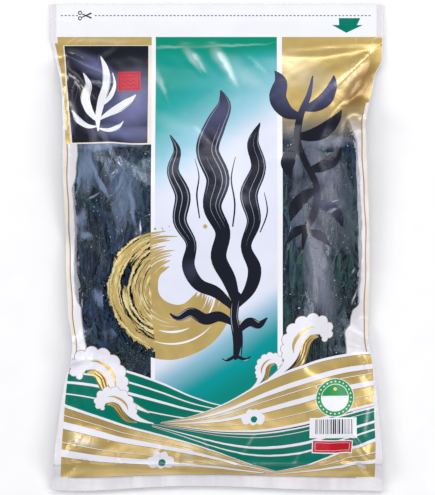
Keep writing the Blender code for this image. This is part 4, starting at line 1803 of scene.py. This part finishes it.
def tucked(obj, grid, other, outward):
    """Bends a flat field of shreds to the inside of a film, where there is room for it."""
    mesh = obj.data
    flat = vertex_array(mesh)
    middle = (KOMBU_LOW + KOMBU_HIGH) / 2
    places = flat[:, :2] / MM * [outward, 1] + [0, middle]
    places[:, 0] = np.clip(places[:, 0], -KOMBU_HALF - 1.5, KOMBU_HALF + 1.5)
    surface = on_grid(grid, places)
    normal = grid_normals(grid, places) * outward
    room = np.linalg.norm(surface - on_grid(other, places), axis=1)
    most = np.maximum(room * 0.55 - 1.0 * MM, 0.25 * MM)
    depth = 0.75 * MM - flat[:, 2]
    depth = np.clip(depth, 0.35 * MM + 0.1 * (depth + 2 * MM), most + 0.06 * depth)
    points = surface - normal * depth[:, None]
    mesh.vertices.foreach_set("co", points.astype(np.float32).ravel())
    drop_squeezed(mesh, room < LEAST_ROOM * MM)
    mesh.update()
    return obj


def drop_squeezed(mesh, squeezed):
    """Removes whole shreds that have a point where the films leave too little room."""
    size = math.prod(SHRED_CUTS)
    lost = squeezed.reshape(len(squeezed) // size, size).any(1)
    body = bmesh.new()
    body.from_mesh(mesh)
    body.verts.ensure_lookup_table()
    gone = [body.verts[k * size + j] for k in np.flatnonzero(lost) for j in range(size)]
    bmesh.ops.delete(body, geom=gone, context="VERTS")
    body.to_mesh(mesh)
    body.free()


def shred_layer(name, grid, other, outward, count, seed, material):
    """One loose layer of kombu against a film."""
    sizes = bpy.context.scene.kombu_sizes
    tree, keys = shred_tree()
    values = {
        "Width": sizes.width,
        "Length": sizes.length,
        "Thickness": sizes.thickness,
        "Field Width": 2 * KOMBU_HALF * MM,
        "Field Length": (KOMBU_HIGH - KOMBU_LOW) * MM,
        "Count": float(count),
        "Depth": LAYER_DEPTH * MM,
        "Seed": seed,
        "Material": material,
    }
    obj = from_nodes(name, tree, keys, values)
    return tucked(obj, grid, other, outward)


def kombu_core(material):
    """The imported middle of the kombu: a closed lumpy body between the two films."""
    front, back = pouch_shape()
    columns, rows = 84, 96
    across = np.linspace(-1, 1, columns + 1)
    along = np.linspace(0, 1, rows + 1)
    across, along = np.meshgrid(across, along)
    edge = (1 - abs(across) ** 6) * (1 - abs(2 * along - 1) ** 8)
    low, high = KOMBU_LOW + 3, KOMBU_HIGH - 5
    places = np.stack([across.ravel() * (KOMBU_HALF - 3), (low + along * (high - low)).ravel()], -1)
    top, under = on_grid(front, places), on_grid(back, places)
    room = np.linalg.norm(top - under, axis=1)
    random = np.random.default_rng(5)
    lumps = rounded(random.normal(0, 1, across.shape), 2)
    streaks = rounded(random.normal(0, 1, (1, columns + 1)).repeat(rows + 1, 0) + lumps, 1)
    bumps = (0.9 * lumps + 0.5 * streaks).ravel() * MM
    inset = np.minimum(4.4 * MM, room * 0.34) + np.clip(bumps, -1 * MM, 1.6 * MM) * (room > 8 * MM)
    inset = np.clip(inset / np.maximum(room, 0.1 * MM), 0.05, 0.49)
    share = 0.5 - (0.5 - inset) * edge.ravel() ** 0.35
    upper = top + (under - top) * share[:, None]
    lower = under + (top - under) * share[:, None]
    grid = np.arange(len(places)).reshape(rows + 1, columns + 1)
    shared = np.zeros_like(grid, bool)
    shared[[0, -1], :] = shared[:, [0, -1]] = True
    under_grid = grid.copy()
    under_grid[~shared] = len(places) + np.arange((~shared).sum())
    upper[shared.ravel()] = (upper[shared.ravel()] + lower[shared.ravel()]) / 2
    points = np.concatenate([upper, lower[~shared.ravel()]])
    obj = new_object("kombu_core", points, joined_faces(grid, under_grid))
    obj.data.materials.append(material)
    obj.data.polygons.foreach_set("use_smooth", np.ones(len(obj.data.polygons), bool))
    return obj


@lru_cache(maxsize=None)
def salt_tree():
    """Scatters small turned crystals over a piece's faces."""
    inputs = [("Shreds", "Object"), ("Density", "Float"), ("Size", "Float"), ("Seed", "Int")]
    tree, keys, given, result = geometry_tree("scattered_salt", inputs + [("Material", "Material")])
    shreds = node(tree, "GeometryNodeObjectInfo", {"Object": given["Shreds"]})
    points = points_on(tree, shreds.outputs["Geometry"], given["Density"], given["Seed"])
    grain = node(tree, "GeometryNodeMeshCube", {"Size": (1, 1, 1)}).outputs["Mesh"]
    turn = vector(tree, *(random_value(tree, -1.5, 1.5, seed) for seed in (31, 32, 33)))
    sides = [
        times(tree, given["Size"], random_value(tree, 0.35, 1.0, seed)) for seed in (34, 35, 36)
    ]
    grains = realized(tree, set_on(tree, points, grain, turn, vector(tree, *sides)))
    sent_out(tree, grains, given["Material"], result)
    return tree, keys


def hanks(first, last):
    """Names of the CAD hanks from one number to another."""
    return [f"kombu_hank_{number:02d}" for number in range(first, last + 1)]


def finished(piece, slot, *nodes):
    """Puts a piece on the pouch's one body, in place of its CAD nodes."""
    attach(piece, "root")
    if nodes:
        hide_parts(*nodes)
    return piece


class KOMBU_OT_front_film(bpy.types.Operator):
    """Makes the printed front film, blown up by its contents"""

    bl_idname = "kombu.front_film"
    bl_label = "Front film"

    def execute(self, context):
        front, _ = pouch_shape()
        step = context.scene.pouch_sizes.fineness / MM
        places, triangles, inks = printed_triangles(step)
        film = film_shell("printed_front_film", places, triangles, inks, front, 1)
        for material in film_materials():
            film.data.materials.append(material)
        finished(film, "printed_film", "front_film")
        return {"FINISHED"}


class KOMBU_OT_back_film(bpy.types.Operator):
    """Makes the bare back film that the pouch lies on"""

    bl_idname = "kombu.back_film"
    bl_label = "Back film"

    def execute(self, context):
        _, back = pouch_shape()
        places = film_points(BACK_STEP)
        found = delaunay_2d_cdt([Vector(place) for place in places], [], [], 0, WELD, False)
        places = np.array([tuple(place) for place in found[0]])
        triangles = np.array(found[2])
        inks = np.zeros(len(triangles), int)
        film = film_shell("clear_back_film", places, triangles, inks, back, -1)
        film.data.materials.append(clear_film(False))
        finished(film, "clear_film", "back_film")
        return {"FINISHED"}


class KOMBU_OT_zip(bpy.types.Operator):
    """Gives the two zip strips their milky clear plastic"""

    bl_idname = "kombu.zip"
    bl_label = "Zip strips"

    def execute(self, context):
        material = zip_material()
        for name in ("zip_groove_rail", "zip_rib_rail"):
            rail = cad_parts[name]
            rail.data.materials.clear()
            rail.data.materials.append(material)
        return {"FINISHED"}


class KOMBU_OT_front_kombu(bpy.types.Operator):
    """Scatters the shreds that show through the front windows"""

    bl_idname = "kombu.front_kombu"
    bl_label = "Front kombu"

    def execute(self, context):
        front, back = pouch_shape()
        count = context.scene.kombu_sizes.front_count
        layer = shred_layer("kombu_front_shreds", front, back, 1, count, 4, kombu_material())
        finished(layer, "kombu", *hanks(29, 42))
        return {"FINISHED"}


class KOMBU_OT_back_kombu(bpy.types.Operator):
    """Scatters the shreds that lie on the back film"""

    bl_idname = "kombu.back_kombu"
    bl_label = "Back kombu"

    def execute(self, context):
        front, back = pouch_shape()
        count = context.scene.kombu_sizes.back_count
        layer = shred_layer("kombu_back_shreds", back, front, -1, count, 9, kombu_material())
        finished(layer, "kombu", *hanks(1, 14))
        return {"FINISHED"}


class KOMBU_OT_core(bpy.types.Operator):
    """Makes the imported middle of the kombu"""

    bl_idname = "kombu.core"
    bl_label = "Kombu core"

    def execute(self, context):
        finished(kombu_core(core_material()), "kombu", *hanks(15, 28))
        return {"FINISHED"}


class KOMBU_OT_salt(bpy.types.Operator):
    """Sprinkles salt crystals on the shreds"""

    bl_idname = "kombu.salt"
    bl_label = "Salt grains"

    def execute(self, context):
        sizes = context.scene.kombu_sizes
        shreds = bpy.data.objects["kombu_front_shreds"]
        area = sum(face.area for face in shreds.data.polygons)
        tree, keys = salt_tree()
        values = {
            "Shreds": shreds,
            "Density": sizes.salt_count / area,
            "Size": sizes.salt_size,
            "Seed": 6,
            "Material": salt_material(),
        }
        finished(from_nodes("salt_grains", tree, keys, values), "kombu")
        return {"FINISHED"}


# Soft boxes: name, place, width, height, and brightness.
SOFT_BOXES = [
    ("head_box", (0.15, 1.35, 1.75), 1.5, 0.8, 4.6),
    ("left_box", (-1.45, 0.55, 1.55), 0.9, 1.1, 4.2),
    ("right_box", (1.45, -0.25, 1.55), 0.8, 1.2, 4.2),
    ("foot_box", (-0.3, -1.7, 1.5), 1.3, 0.5, 2.6),
]
VIEW_DISTANCE = 3.0
PHOTO_HEIGHT = 495
PIXEL = 0.7175 * MM
EDGE_HEIGHT = 0.012


class KOMBU_OT_stage(bpy.types.Operator):
    """Makes the pale floor, the soft light and the camera straight above"""

    bl_idname = "kombu.stage"
    bl_label = "Stage"

    def execute(self, context):
        scene = context.scene
        floor = new_object(
            "floor",
            np.array([(-4, -4, 0), (4, -4, 0), (4, 4, 0), (-4, 4, 0)], float),
            [(0, 1, 2, 3)],
        )
        floor.data.materials.append(floor_material())
        world = bpy.data.worlds.new("soft_room")
        world.use_nodes = True
        sky = next(n for n in world.node_tree.nodes if n.type == "BACKGROUND")
        sky.inputs["Color"].default_value = (0.97, 0.97, 1.0, 1.0)
        sky.inputs["Strength"].default_value = 0.36
        scene.world = world
        for name, place, width, height, bright in SOFT_BOXES:
            lamp = bpy.data.lights.new(name, "AREA")
            lamp.shape = "RECTANGLE"
            lamp.size, lamp.size_y = width, height
            lamp.energy = bright * math.pi * width * height
            holder = bpy.data.objects.new(name, lamp)
            holder.location = place
            holder.rotation_euler = (-Vector(place)).to_track_quat("-Z", "Y").to_euler()
            scene.collection.objects.link(holder)
        lens = bpy.data.cameras.new("straight_above")
        lens.sensor_width = 36.0
        lens.lens = lens.sensor_width * (VIEW_DISTANCE - EDGE_HEIGHT) / (PHOTO_HEIGHT * PIXEL)
        lens.clip_end = 20
        camera = bpy.data.objects.new("straight_above", lens)
        camera.location = (1.0 * PIXEL, 0.1 * PIXEL, VIEW_DISTANCE)
        scene.collection.objects.link(camera)
        scene.camera = camera
        scene.view_settings.view_transform = "Standard"
        return {"FINISHED"}


OPERATORS = (
    KOMBU_OT_front_film,
    KOMBU_OT_back_film,
    KOMBU_OT_zip,
    KOMBU_OT_front_kombu,
    KOMBU_OT_back_kombu,
    KOMBU_OT_core,
    KOMBU_OT_salt,
    KOMBU_OT_stage,
)


class KOMBU_PT_panel(bpy.types.Panel):
    """The pouch's pieces and sizes, in the sidebar"""

    bl_label = "Salted kombu pouch"
    bl_idname = "KOMBU_PT_panel"
    bl_space_type = "VIEW_3D"
    bl_region_type = "UI"
    bl_category = "Kombu"

    def draw(self, context):
        scene = context.scene
        for group in (scene.pouch_sizes, scene.kombu_sizes, scene.pouch_colours):
            for name in group.__annotations__:
                self.layout.prop(group, name)
        for operator in OPERATORS:
            self.layout.operator(operator.bl_idname)


CLASSES = (PouchSizes, KombuSizes, PouchColours, *OPERATORS, KOMBU_PT_panel)


def register():
    """Adds the classes and the scene's properties."""
    for entry in CLASSES:
        bpy.utils.register_class(entry)
    bpy.types.Scene.pouch_sizes = PointerProperty(type=PouchSizes)
    bpy.types.Scene.kombu_sizes = PointerProperty(type=KombuSizes)
    bpy.types.Scene.pouch_colours = PointerProperty(type=PouchColours)


def unregister():
    """Takes the classes and the properties away again."""
    del bpy.types.Scene.pouch_colours
    del bpy.types.Scene.kombu_sizes
    del bpy.types.Scene.pouch_sizes
    for entry in reversed(CLASSES):
        bpy.utils.unregister_class(entry)


def main():
    """Makes every piece in order."""
    register()
    for operator in OPERATORS:
        group, name = operator.bl_idname.split(".")
        getattr(getattr(bpy.ops, group), name)()


if __name__ == "__main__":
    main()
